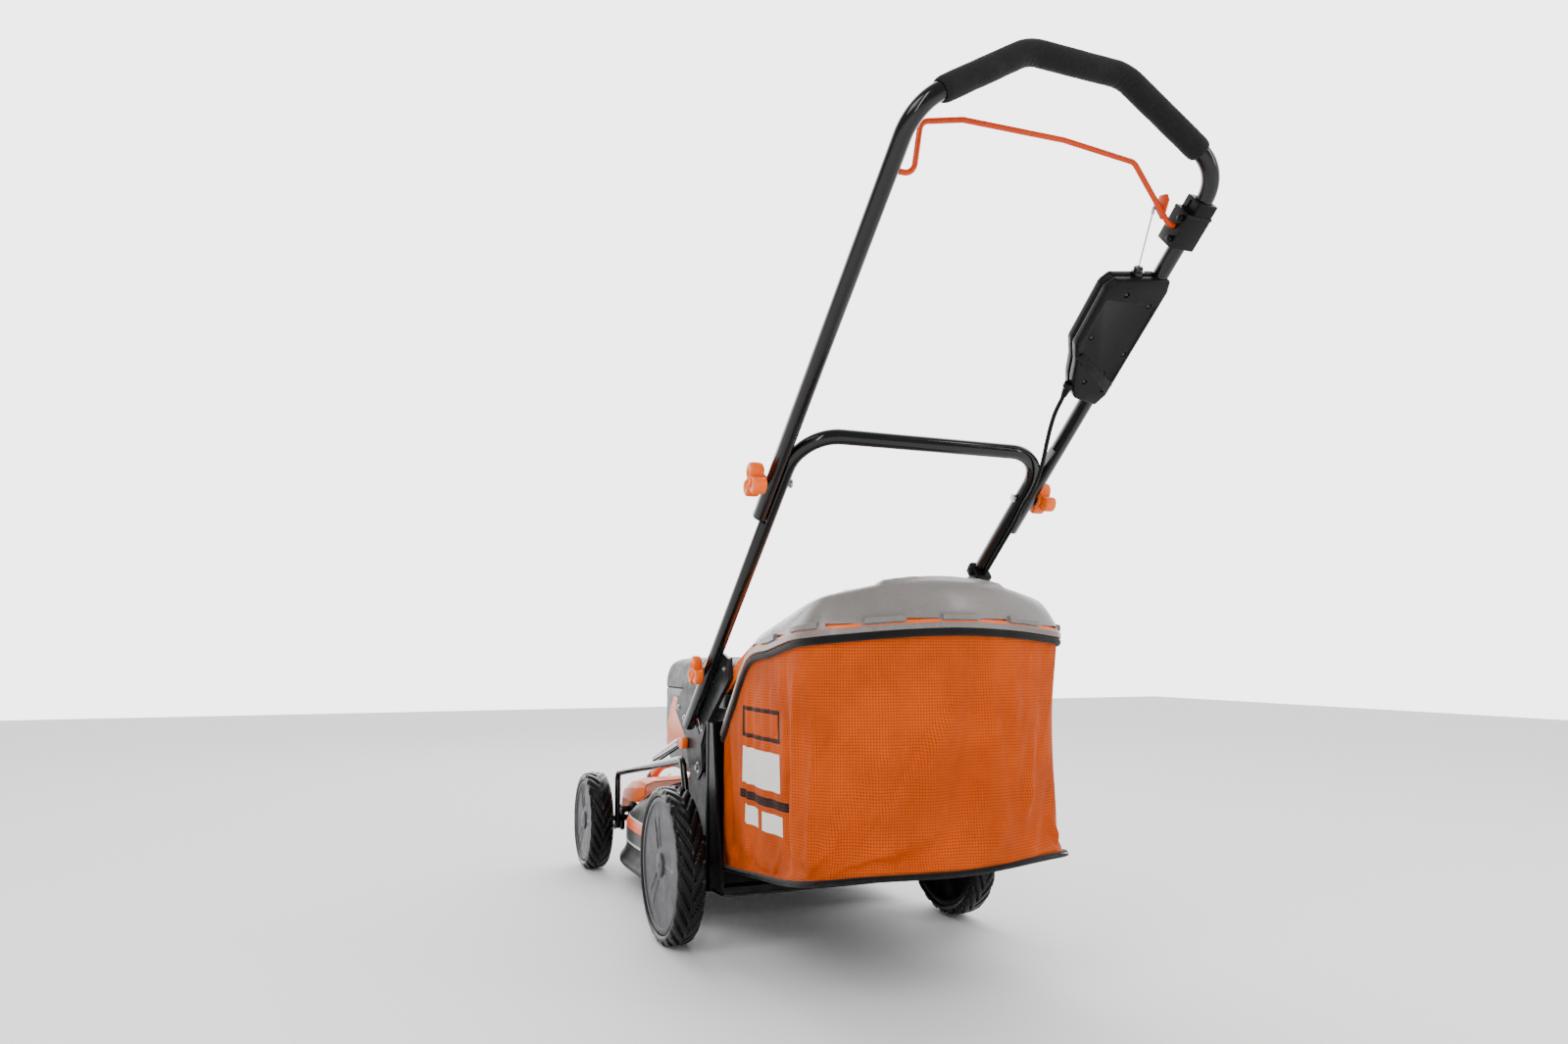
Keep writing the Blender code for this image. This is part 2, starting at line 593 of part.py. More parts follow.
def make_hood():
    y0, y1 = HOOD_Y
    wall = 0.003
    heights = [(HOOD_FLOOR_Z, 0.006, 0.030), (0.235, 0.0, 0.012), (0.300, 0.0, 0.004), (HOOD_SPLIT_Z, 0.001, 0.0)]
    outer = [rounded_box_loop(HOOD_HALF - inset, y0 + inset, y1 - front, z, 0.030)
             for z, inset, front in heights]
    inner = [rounded_box_loop(HOOD_HALF - inset - wall, y0 + inset + wall, y1 - front - wall, z, 0.027)
             for z, inset, front in reversed(heights[:-1])]
    ceiling = rounded_box_loop(HOOD_HALF - 0.001 - wall, y0 + wall, y1 - wall, HOOD_SPLIT_Z - wall, 0.027)
    hole = [rounded_box_loop(0.068, 0.150, 0.330, z, 0.010) for z in (HOOD_SPLIT_Z, HOOD_SPLIT_Z - wall)]
    hood = solid("hood", outer + hole + [ceiling] + inner, ring=True)
    bay = solid("bay", [rounded_box_loop(0.0705, 0.1475, 0.3325, z, 0.011) for z in (0.2620, 0.3420)])
    cut(bay, solid("void", [rounded_box_loop(0.068, 0.150, 0.330, z, 0.010) for z in (0.2645, 0.360)]))
    join(hood, bay)
    keep(hood, "hood_body", "grey_plastic")

    panel = [(0.105, 0.218), (0.120, 0.300), (0.180, 0.325), (0.330, 0.315), (0.425, 0.330), (0.430, 0.300),
             (0.330, 0.262), (0.240, 0.222)]

    def side_panel(side, word):
        piece = prism_x(panel, side * (HOOD_HALF + GAP), side * (HOOD_HALF + 0.0035))
        keep(piece, f"hood_panel_{word}", "orange")

    both_sides(side_panel)

    lid_heights = [(HOOD_SPLIT_Z + GAP, 0.001, 0.0), (0.365, 0.0015, 0.003), (0.385, 0.006, 0.010),
                   (0.395, 0.016, 0.024), (HOOD_TOP_Z, 0.034, 0.045)]
    outer = [rounded_box_loop(HOOD_HALF - inset, y0 + inset, y1 - front, z, 0.032) for z, inset, front in lid_heights]
    inner = [rounded_box_loop(HOOD_HALF - inset - wall, y0 + inset + wall, y1 - front - wall,
                              z - (wall if z > 0.37 else 0), 0.029)
             for z, inset, front in reversed(lid_heights)]
    rim = rounded_box_loop(HOOD_HALF - 0.001 - wall, y0 + wall, y1 - wall, HOOD_SPLIT_Z - wall, 0.029)
    lid = solid("lid", outer)
    cut(lid, solid("void", [rim] + list(reversed(inner))))
    keep(lid, "battery_lid", "dark_grey", (0, *LID_AXIS))


def make_power_unit():
    y = DECK_CENTRE_Y
    can = turned([(0.1690, 0.030), (0.1690, 0.062), (0.1740, 0.064), (0.2480, 0.064), (0.2560, 0.054),
                  (0.2560, 0.0095), (0.2520, 0.0095), (0.2520, 0.046), (0.1740, 0.046), (0.1740, 0.030)],
                 (0, y, 0), (0, 0, 1), 20, ring=True)
    keep(can, "motor_can", "black_plastic")
    rotor = turned([(0.0700, 0.006), (0.1780, 0.006), (0.1800, 0.042), (0.2460, 0.042), (0.2480, 0.006),
                    (0.2590, 0.006)], (0, y, 0), (0, 0, 1), 20)
    keep(rotor, "motor_rotor", "steel", (0, y, 0))
    adapter = turned([(0.0650, 0.0063), (0.0650, 0.026), (0.0690, 0.026), (0.0720, 0.016), (0.0920, 0.013),
                      (0.0920, 0.0063)], (0, y, 0), (0, 0, 1), 16, ring=True)
    keep(adapter, "blade_adapter", "black_paint", (0, y, 0))
    bolt = turned([(0.0500, 0.010), (0.0590, 0.010), (0.0600, 0.0048), (0.0696, 0.0048)], (0, y, 0), (0, 0, 1), 12)
    keep(bolt, "blade_bolt", "steel", (0, y, 0))

    stations = [(-BLADE_HALF, 0.013), (-0.150, 0.010), (-0.120, 0.0), (-0.030, 0.0), (0.030, 0.0),
                (0.120, 0.0), (0.150, 0.010), (BLADE_HALF, 0.013)]
    grid = []
    for x, lift in stations:
        ahead = 1 if x > 0 else -1
        grid.append([(x, y + ahead * 0.025, 0.0640), (x, y + ahead * 0.002, 0.0640),
                     (x, y - ahead * 0.025, 0.0640 + lift)])
    half = len(grid) // 2
    grid = [list(reversed(row)) for row in grid[:half]] + grid[half:]
    blade = slab(grid, Vector((0, 0, -0.003)))
    cut(blade, rod((0, y, 0.050), (0, y, 0.080), 0.0055))
    keep(blade, "blade", "steel", (0, y, 0))

    pack = box((-0.062, 0.156, 0.2655), (0.062, 0.290, 0.352), 0.006)
    grip = box((-0.030, 0.205, 0.351), (0.030, 0.240, 0.366), 0.004)
    join(pack, grip)
    keep(pack, "battery_pack", "black_plastic")
    key = box((-0.010, 0.300, 0.2650), (0.010, 0.320, 0.300), 0.002)
    join(key, box((-0.020, 0.3060, 0.2990), (0.020, 0.3140, 0.322), 0.003))
    keep(key, "safety_key", "orange")
    board = box((-0.060, 0.400, 0.236), (0.060, 0.404, 0.330))
    join(board, box((-0.045, 0.390, 0.262), (0.045, 0.4005, 0.320), 0.001))
    keep(board, "motor_controller", "green_board")


def make_carry_handle():
    """The orange hoop that rises from the nose to the hood and lifts the front of the mower."""
    x = 0.112
    foot = (0.556, 0.1625)
    path = rounded_path([(-x, *foot), (-x, 0.470, 0.1985), (x, 0.470, 0.1985), (x, *foot)], 0.024, 4)
    bar = swept(path, 0.0085, 8)
    keep(bar, "carry_handle", "orange")


def make_assist_spring():
    a, b = Vector((-0.1745, 0.134, 0.2700)), Vector((-0.1745, 0.341, 0.2127))
    along = (b - a).normalized()
    spring = turned([(0, 0.002), (0.010, 0.002), (0.014, 0.0050), ((b - a).length - 0.045, 0.0050),
                     ((b - a).length - 0.041, 0.0016), ((b - a).length, 0.0016)], a, along, 10)
    keep(spring, "assist_spring", "steel")


# ---------------------------------------------------------------- handle
def make_lower_handle():
    s_end, s_top = LOWER_END_S, CROSSBAR_S
    path = rounded_path([leg_point(-LOWER_X, s_end), leg_point(-LOWER_X, s_top),
                         leg_point(LOWER_X, s_top), leg_point(LOWER_X, s_end)], 0.055, 5)
    bar = swept(path, TUBE_R, 10)
    tilt, fold = leg_point(0, TILT_S), leg_point(0, FOLD_S)
    for side in (-1, 1):
        far, near = side * 0.200, side * (LAP_X - 0.0002)
        low, high = sorted((far, near))
        flat = [(low, FOLD_S - 0.064), (high, FOLD_S - 0.064), (high, FOLD_S + 0.085), (low, FOLD_S + 0.085)]
        cut(bar, leg_prism(flat, -0.015, 0.015))
        for bolt in (tilt, fold):
            cut(bar, rod((side * 0.150, bolt.y, bolt.z), (side * 0.200, bolt.y, bolt.z), 0.0036))
    keep(bar, "lower_handle", "black_paint", (0, tilt.y, tilt.z))


def upper_handle_path():
    bend = leg_point(UPPER_X, HANDLE_BEND_S)
    shoulder = Vector((0.060, -0.6600, 1.0090))
    mirror = Vector((-1, 1, 1))
    return [leg_point(-UPPER_X, UPPER_END_S), bend * mirror, shoulder * mirror, shoulder, bend,
            leg_point(UPPER_X, UPPER_END_S)]


def make_upper_handle():
    path = rounded_path(upper_handle_path(), 0.050, 4)
    bar = swept(path, TUBE_R, 10)
    fold, bail = leg_point(0, FOLD_S), leg_point(0, BAIL_S)
    for side in (-1, 1):
        low, high = sorted((side * 0.170, side * (LAP_X + 0.0002)))
        flat = [(low, FOLD_S - 0.062), (high, FOLD_S - 0.062), (high, FOLD_S + 0.090), (low, FOLD_S + 0.090)]
        cut(bar, leg_prism(flat, -0.015, 0.015))
        cut(bar, rod((side * 0.150, fold.y, fold.z), (side * 0.210, fold.y, fold.z), 0.0036))
    cut(bar, rod((-0.150, bail.y, bail.z), (-0.1880, bail.y, bail.z), 0.0036, 8))
    keep(bar, "upper_handle", "black_paint", (0, fold.y, fold.z))

    covered = [p for p in path if abs(p.x) < GRIP_HALF_X - 0.001]
    inner_left, inner_right = covered[0], covered[-1]
    before = path[path.index(inner_left) - 1]
    after = path[path.index(inner_right) + 1]

    def at_half(a, b):
        share = (GRIP_HALF_X - abs(a.x)) / (abs(b.x) - abs(a.x))
        return a.lerp(b, share)

    grip_path = [at_half(inner_left, before)] + covered + [at_half(inner_right, after)]
    keep(swept(grip_path, GRIP_R, 10, hollow=TUBE_R + 0.0005), "handle_grip", "foam")


def star_knob(side, bolt, face, shank_end, depth):
    """Three-lobed knob with its collar, bolt shank and inner bolt head, turning about X."""
    lobes, points = 3, 24
    outline = []
    for k in range(points):
        angle = 2 * math.pi * k / points
        radius = 0.0192 + 0.0060 * math.cos(lobes * angle)
        outline.append((bolt.y + radius * math.sin(angle), bolt.z + radius * math.cos(angle)))
    start = face + 0.0006
    head = prism_x(outline, side * (start + 0.0025), side * (start + depth))
    head = soften(head, 0.002)
    profile = [(0, 0.0060), (0.0030, 0.0060), (0.0034, 0.0031), (start - shank_end, 0.0031),
               (start - shank_end + 0.0002, 0.0088), (start - shank_end + 0.0050, 0.0088)]
    shank = turned(profile, (side * shank_end, bolt.y, bolt.z), (side, 0, 0), 12)
    return join(shank, head)


def make_knobs():
    tilt, fold = leg_point(0, TILT_S), leg_point(0, FOLD_S)

    def pair(side, word):
        knob = star_knob(side, tilt, LOWER_X + TUBE_R, 0.1598, 0.0165)
        keep(knob, f"tilt_knob_{word}", "orange", (side * 0.2, tilt.y, tilt.z))
        knob = star_knob(side, fold, UPPER_X + TUBE_R, 0.1640, 0.0215)
        keep(knob, f"fold_knob_{word}", "orange", (side * 0.2, fold.y, fold.z))

    both_sides(pair)


# ---------------------------------------------------------------- switch box, bail and cable
BOX_OUTLINE = [(0.1600, 1.1380), (0.1960, 1.1310), (0.2035, 1.1480), (0.2035, 1.2980), (0.1985, 1.3130),
               (0.1270, 1.3020), (0.1195, 1.2900), (0.1195, 1.2130), (0.1330, 1.1900), (0.1420, 1.1660),
               (0.1520, 1.1480)]
BOX_POCKET = [(0.1235, 1.2140), (0.1765, 1.2140), (0.1765, 1.3020), (0.1290, 1.2960), (0.1235, 1.2880)]
BOX_DEPTH = 0.0128                                            # half the box's depth along n
WIRE_FOOT, WIRE_TOP = (0.1690, 1.2620, -0.0060), (0.1480, 1.3850, 0.0210)   # (x, s, n) of its two ends
BUTTON_AT = (0.1400, 1.2620)                                  # (x, s)


def leg_bore(x, radius, s0, s1, n=0.0, sides=12):
    return rod(leg_point(x, s0, n), leg_point(x, s1, n), radius, sides)


def make_switch_box():
    wire_low, wire_high = leg_point(*WIRE_FOOT), leg_point(*WIRE_TOP)
    halves = []
    for inner, outer in ((-0.0002, -BOX_DEPTH), (0.0002, BOX_DEPTH)):
        wall = 0.0026 if outer > 0 else -0.0026
        half = soften(leg_prism(BOX_OUTLINE, *sorted((inner, outer))), 0.0030)
        cut(half, leg_prism(BOX_POCKET, *sorted((-2 * inner, outer - wall))))
        cut(half, leg_bore(UPPER_X, TUBE_R + GAP, 1.05, 1.35))
        cut(half, rod(wire_low, wire_high, 0.0020, 8))
        halves.append(half)
    keep(halves[0], "switch_box_back", "black_plastic")
    cut(halves[1], rod(leg_point(*BUTTON_AT, 0.005), leg_point(*BUTTON_AT, 0.030), 0.0100))
    keep(halves[1], "switch_box_front", "black_plastic")

    axis_low = leg_point(*BUTTON_AT, 0.0042)
    button = turned([(0, 0.0094), (0.0122, 0.0094), (0.0142, 0.0080)], axis_low, LEG_NORMAL, 12)
    keep(button, "start_button", "orange", axis_low)

    switch = leg_prism([(0.1480, 1.218), (0.1660, 1.218), (0.1660, 1.244), (0.1480, 1.244)], -0.0080, 0.0060)
    keep(switch, "microswitch", "black_plastic")


BAIL_LEAN = math.radians(98)                  # how far the resting bail leans back
# the bail's bends from its left pin to its right pin: X, distance from the pivot line
BAIL_BENDS = [(-0.1870, 0.0), (-0.1630, 0.0), (-0.1580, 0.0540), (-0.1095, 0.0650), (0.0155, 0.0675),
              (0.1100, 0.0605), (0.1630, 0.0), (0.1760, 0.0)]


def make_bail():
    pivot = leg_point(0, BAIL_S)
    block = leg_prism([(0.1690, 1.351), (0.2030, 1.351), (0.2030, 1.406), (0.1690, 1.406)], -0.0130, 0.0150)
    block = soften(block, 0.0025)
    cut(block, leg_bore(UPPER_X, TUBE_R + GAP, 1.30, 1.46))
    cut(block, rod((0.150, pivot.y, pivot.z), (0.1765, pivot.y, pivot.z), 0.0036, 8))
    keep(block, "bail_mount", "black_plastic")

    rising = Vector((0, math.cos(BAIL_LEAN), math.sin(BAIL_LEAN)))
    path = rounded_path([pivot + Vector((x, 0, 0)) + rising * reach for x, reach in BAIL_BENDS], 0.012, 3)
    bail = swept(path, BAIL_R, 8)
    lug_x = (0.1510, 0.1540)
    lug = solid("lug", [[leg_point(x, s, n) for s, n in ((1.3760, 0.0050), (1.3960, 0.0100), (1.3930, 0.0245),
                                                          (1.3800, 0.0230))] for x in lug_x])
    join(bail, lug)
    keep(bail, "bail", "orange", pivot)

    low, high = leg_point(*WIRE_FOOT), leg_point(*WIRE_TOP)
    wire = rod(low, high, 0.0007, 6)
    eye = rod(high - Vector((0.0010, 0, 0)), high + Vector((0.0014, 0, 0)), 0.0026, 8)
    join(wire, eye)
    keep(wire, "pull_wire", "steel", low)


# the power cable's route: (x, s, n) beside the right leg, one list for each body it is clipped to
CABLE_UPPER = [(0.1480, 1.1480, -0.0040), (0.1488, 1.1300, -0.0050), (0.1488, 1.1118, -0.0065),
               (0.1510, 1.0920, -0.0095), (0.1560, 1.0680, -0.0130), (0.1606, 1.0490, -0.0160),
               (0.1650, 1.0300, -0.0178), (0.1700, 1.0010, -0.0185), (0.1725, 0.9750, -0.0180),
               (0.1720, 0.9600, -0.0170)]
CABLE_LOWER = [(0.1724, 0.9590, -0.0170), (0.1770, 0.9300, -0.0150), (0.1780, 0.9000, -0.0140),
               (0.1780, 0.8600, -0.0140), (0.1780, 0.8170, -0.0140), (0.1780, 0.7700, -0.0140),
               (0.1745, 0.7300, -0.0140), (0.1670, 0.6950, -0.0135), (0.1605, 0.6600, -0.0130),
               (0.1598, 0.6250, -0.0130), (0.1598, 0.5905, -0.0130)]


def make_cable():
    fold, tilt = leg_point(0, FOLD_S), leg_point(0, TILT_S)
    upper = [leg_point(*p) for p in CABLE_UPPER]
    lower = [leg_point(*p) for p in CABLE_LOWER]
    keep(swept(smooth_path(upper, 0.010), CABLE_R, 8), "cable_upper", "rubber", (0, fold.y, fold.z))
    keep(swept(smooth_path(lower, 0.012), CABLE_R, 8), "cable_lower", "rubber", (0, tilt.y, tilt.z))
    start = leg_point(0.1598, 0.5898, -0.0130)
    to_hood = [start, start + Vector((-0.0002, 0.0200, -0.0125)), Vector((0.1590, 0.0250, 0.3440)),
               Vector((0.1500, 0.0520, 0.3370)), Vector((0.1350, 0.0760, 0.3300)), Vector((0.1206, 0.0870, 0.3250))]
    keep(swept(smooth_path(to_hood, 0.010), CABLE_R, 8), "cable_hood", "rubber")

    clip = leg_prism([(0.1640, 0.8100), (0.1915, 0.8100), (0.1915, 0.8240), (0.1640, 0.8240)], -0.0190, 0.0125)
    clip = soften(clip, 0.0030)
    cut(clip, leg_bore(LOWER_X, TUBE_R + GAP, 0.79, 0.85))
    cut(clip, leg_bore(0.1780, CABLE_R + GAP, 0.79, 0.85, -0.0140, 8))
    keep(clip, "cable_clip", "black_plastic", (0, tilt.y, tilt.z))


# ---------------------------------------------------------------- rear flap and grass bag
def make_flap():
    y, z = FLAP_AXIS
    left, right = -0.1575, 0.1480
    plate = prism_x([(y - 0.004, z - 0.002), (y - 0.004, z + 0.004), (-0.060, 0.3905), (-0.149, 0.4255),
                     (-0.152, 0.4225), (-0.060, 0.3870)], left, right)
    barrel = turned([(0, 0.0034), (right - left, 0.0034), (right - left, 0.0062), (0, 0.0062)],
                    (left, y, z), (1, 0, 0), 10, ring=True)
    join(plate, barrel)
    keep(plate, "rear_flap", "orange", (0, y, z))


BAG_RIM = [  # the bag's outline in plan from its left front corner round the back: X, Y, rim, floor
    (-0.1750, -0.0600, 0.2930, 0.1130), (-0.1775, -0.1100, 0.3400, 0.1180), (-0.1790, -0.1770, 0.4010, 0.1260),
    (-0.1810, -0.2600, 0.4140, 0.1370), (-0.1820, -0.3350, 0.4250, 0.1500), (-0.1740, -0.3680, 0.4280, 0.1560),
    (-0.1500, -0.3880, 0.4310, 0.1590), (-0.0800, -0.4080, 0.4370, 0.1620), (0.0000, -0.4150, 0.4400, 0.1630)]
CLOTH = 0.0030


def bag_outline(inset=0.0):
    """The full outline, mirrored to the right, pulled in by inset towards the bag's middle."""
    right = [(-x, y, rim, floor) for x, y, rim, floor in reversed(BAG_RIM[:-1])]
    outline = []
    for x, y, rim, floor in BAG_RIM + right:
        across = max(-1.0, min(1.0, x / 0.15))
        behind = 1.0 if y < -0.36 else 0.0
        outline.append((x - inset * across, y + inset * behind, rim, floor))
    return outline


def make_bag():
    wall_outer, wall_inner = bag_outline(), bag_outline(CLOTH)
    loops = []
    for (x, y, rim, floor), (u, v, _, _) in zip(wall_outer, wall_inner):
        loops.append([(x, y, floor), (x, y, rim - 0.001), (u, v, rim - 0.001), (u, v, floor)])
    keep(solid("cloth", loops), "bag_cloth", "orange_cloth")

    # floor tray: a thin black pan under the cloth, resting in the bag's own outline
    left = [p for p in wall_outer if p[0] <= 0]
    grid = []
    for x, y, _, floor in left:
        grid.append([(x * share, y, floor - GAP) for share in (1.0, 0.5, 0.0, -0.5, -1.0)])
    grid = grid[:-1]
    keep(slab(grid + [[(x, -0.4150, 0.1630 - GAP) for x in (-0.04, -0.02, 0.0, 0.02, 0.04)]],
              Vector((0, 0, -0.0025))), "bag_tray", "black_plastic")

    # lid: crowned plastic cover whose front slopes down to the mouth
    rim_rows = []
    for x, y, rim, _ in left[:-1]:
        half = -x + 0.0020
        crown = max(0.0, min(1.0, (-y - 0.060) / 0.300))
        rise = 0.012 + 0.050 * crown ** 0.8
        if y < -0.37:
            rise *= 0.75
        if y < -0.40:
            rise *= 0.45
        row = [(-half, y, rim - 0.0006)]
        for share, lift in ((-0.97, 0.30), (-0.80, 0.72), (-0.40, 0.96), (0.0, 1.0), (0.40, 0.96),
                            (0.80, 0.72), (0.97, 0.30)):
            row.append((half * share, y, rim + rise * lift))
        row.append((half, y, rim - 0.0006))
        rim_rows.append(row)
    back = [(x, -0.4180, 0.4400) for x in (-0.030, -0.028, -0.020, -0.010, 0.0, 0.010, 0.020, 0.028, 0.030)]
    lid = slab(rim_rows + [back], Vector((0, 0, 0.0025)))
    keep(lid, "bag_lid", "lid_grey")

    # wire frame behind the mouth, open by a few millimetres at the middle of its lower run
    x, low, high, y = 0.160, 0.1300, 0.2860, -0.0520
    path = rounded_path([(0.0, y, low), (-x, y, low), (-x, y, high), (x, y, high), (x, y, low), (0.004, y, low)],
                        0.015, 3)
    keep(swept(path, 0.0030, 8), "bag_frame", "steel")


# ---------------------------------------------------------------- build
clear_scene()
FRAME = link_object("rear_axle_frame", None)
FRAME.location = (0, REAR_AXLE_Y, 0)
make_running_gear()
make_quadrant()
make_deck()
make_shroud()
make_rear_frame()
make_brackets()
make_hood()
make_power_unit()
make_carry_handle()
make_assist_spring()
make_lower_handle()
make_upper_handle()
make_knobs()
make_switch_box()
make_bail()
make_cable()
make_flap()
make_bag()
bpy.context.view_layer.update()
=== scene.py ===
import json
import math

import bmesh
import bpy
from mathutils import Matrix, Vector, noise


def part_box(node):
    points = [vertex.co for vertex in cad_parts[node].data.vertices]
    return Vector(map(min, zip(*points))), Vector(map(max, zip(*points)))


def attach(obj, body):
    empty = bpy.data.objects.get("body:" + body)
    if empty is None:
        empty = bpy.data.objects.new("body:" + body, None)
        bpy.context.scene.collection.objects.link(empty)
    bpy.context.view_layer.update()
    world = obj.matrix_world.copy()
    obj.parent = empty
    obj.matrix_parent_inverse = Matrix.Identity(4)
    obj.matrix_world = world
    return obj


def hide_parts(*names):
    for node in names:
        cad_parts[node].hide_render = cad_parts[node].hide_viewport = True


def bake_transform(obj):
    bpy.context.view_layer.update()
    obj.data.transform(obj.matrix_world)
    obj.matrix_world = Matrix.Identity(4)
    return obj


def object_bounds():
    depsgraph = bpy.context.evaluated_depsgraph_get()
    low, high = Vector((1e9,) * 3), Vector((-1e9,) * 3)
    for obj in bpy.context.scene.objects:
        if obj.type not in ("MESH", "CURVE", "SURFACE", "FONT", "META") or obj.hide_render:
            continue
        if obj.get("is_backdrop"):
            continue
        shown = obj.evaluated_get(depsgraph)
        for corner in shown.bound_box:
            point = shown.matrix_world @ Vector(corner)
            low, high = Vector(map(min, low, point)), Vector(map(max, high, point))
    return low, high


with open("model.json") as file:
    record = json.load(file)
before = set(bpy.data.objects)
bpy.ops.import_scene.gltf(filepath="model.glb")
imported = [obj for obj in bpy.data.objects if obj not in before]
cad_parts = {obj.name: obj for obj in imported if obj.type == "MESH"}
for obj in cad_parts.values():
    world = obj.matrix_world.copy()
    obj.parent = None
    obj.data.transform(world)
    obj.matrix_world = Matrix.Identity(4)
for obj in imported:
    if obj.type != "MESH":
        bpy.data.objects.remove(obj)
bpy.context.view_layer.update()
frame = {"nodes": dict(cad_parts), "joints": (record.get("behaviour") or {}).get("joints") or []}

# ---------------------------------------------------------------- places read from the frame
JOINTS = {joint["name"]: joint for joint in frame["joints"]}


def middle(node):
    low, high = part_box(node)
    return (low + high) / 2


AXLE_Y = middle("rear_left_tyre").y
TO_ROW = Vector((0, AXLE_Y, 0))


def joint_point(name):
    return Vector(JOINTS[name]["pos_m"]) - TO_ROW


TILT, FOLD, BAIL = joint_point("handle_tilt"), joint_point("handle_fold"), joint_point("bail_pull")
LEG_ALONG = (FOLD - TILT).normalized()                       # up along a handle leg
LEG_NORMAL = Vector((0, LEG_ALONG.z, -LEG_ALONG.y))          # square to it, up and forward
LEG_FOOT = TILT - LEG_ALONG * (TILT.z / LEG_ALONG.z)         # where a leg's line meets the ground
FOLD_S, BAIL_S = FOLD.z / LEG_ALONG.z, BAIL.z / LEG_ALONG.z
WHEELBASE = middle("front_left_tyre").y - AXLE_Y
REAR_RADIUS, FRONT_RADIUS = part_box("rear_left_tyre")[1].z / 2, middle("front_left_tyre").z
AIR = 0.0004                                                 # between pieces that touch

# ---------------------------------------------------------------- sizes of the fine pieces
TUBE_R = 0.0097
LOWER_X, UPPER_X, LAP_X = 0.178, 0.19, 0.1827
LOWER_END_S, CROSSBAR_S, UPPER_END_S, HANDLE_BEND_S = 0.46, 1.0385, 0.902, 1.44
GRIP_R, GRIP_HALF_X = 0.0135, 0.162
BAIL_R, CABLE_R = 0.0031, 0.0028
DECK_CENTRE_Y, DECK_HALF, DECK_REAR_Y = 0.33, 0.195, 0.135
HOOD_HALF, HOOD_Y, HOOD_SPLIT_Z = 0.12, (0.065, 0.455), 0.343


# ---------------------------------------------------------------- finishes
class Nodes:
    """A material's node tree with short calls for the nodes used here."""

    def __init__(self, name):
        self.material = bpy.data.materials.new(name)
        self.material.use_nodes = True
        self.tree = self.material.node_tree
        self.shader = self.tree.nodes["Principled BSDF"]
        self.object_space = self.add("ShaderNodeTexCoord").outputs["Object"]

    def add(self, kind, **settings):
        node = self.tree.nodes.new(kind)
        for key, value in settings.items():
            setattr(node, key, value)
        return node

    def shade(self, **values):
        """Put values on the shader's own sockets, whose names have _ for a space."""
        for key, value in values.items():
            self.put(self.shader.inputs[key.replace("_", " ")], value)

    def put(self, socket, value):
        if isinstance(value, bpy.types.NodeSocket):
            self.tree.links.new(value, socket)
        else:
            socket.default_value = value

    def math(self, operation, a, b=0.0):
        node = self.add("ShaderNodeMath", operation=operation)
        self.put(node.inputs[0], a)
        self.put(node.inputs[1], b)
        return node.outputs[0]

    def noise(self, scale, detail=3.0, rough=0.55, stretch=None):
        node = self.add("ShaderNodeTexNoise")
        node.inputs["Scale"].default_value = scale
        node.inputs["Detail"].default_value = detail
        node.inputs["Roughness"].default_value = rough
        source = self.object_space
        if stretch:
            mapping = self.add("ShaderNodeMapping")
            mapping.inputs["Scale"].default_value = stretch
            self.put(mapping.inputs["Vector"], source)
            source = mapping.outputs[0]
        self.put(node.inputs["Vector"], source)
        return node.outputs["Fac"]

    def ramp(self, value, low, high, to_low=0.0, to_high=1.0):
        node = self.add("ShaderNodeMapRange", interpolation_type="SMOOTHSTEP")
        for key, number in zip(("From Min", "From Max", "To Min", "To Max"), (low, high, to_low, to_high)):
            node.inputs[key].default_value = number
        self.put(node.inputs["Value"], value)
        return node.outputs["Result"]

    def mix(self, share, a, b):
        node = self.add("ShaderNodeMix", data_type="RGBA")
        self.put(node.inputs[0], share)
        self.put(node.inputs[6], a)
        self.put(node.inputs[7], b)
        return node.outputs[2]

    def bump(self, height, strength, distance, normal=None):
        node = self.add("ShaderNodeBump")
        node.inputs["Strength"].default_value = strength
        node.inputs["Distance"].default_value = distance
        self.put(node.inputs["Height"], height)
        if normal is not None:
            self.put(node.inputs["Normal"], normal)
        return node.outputs["Normal"]


def tone(colour, factor):
    return (*[min(1.0, c * factor) for c in colour], 1.0)


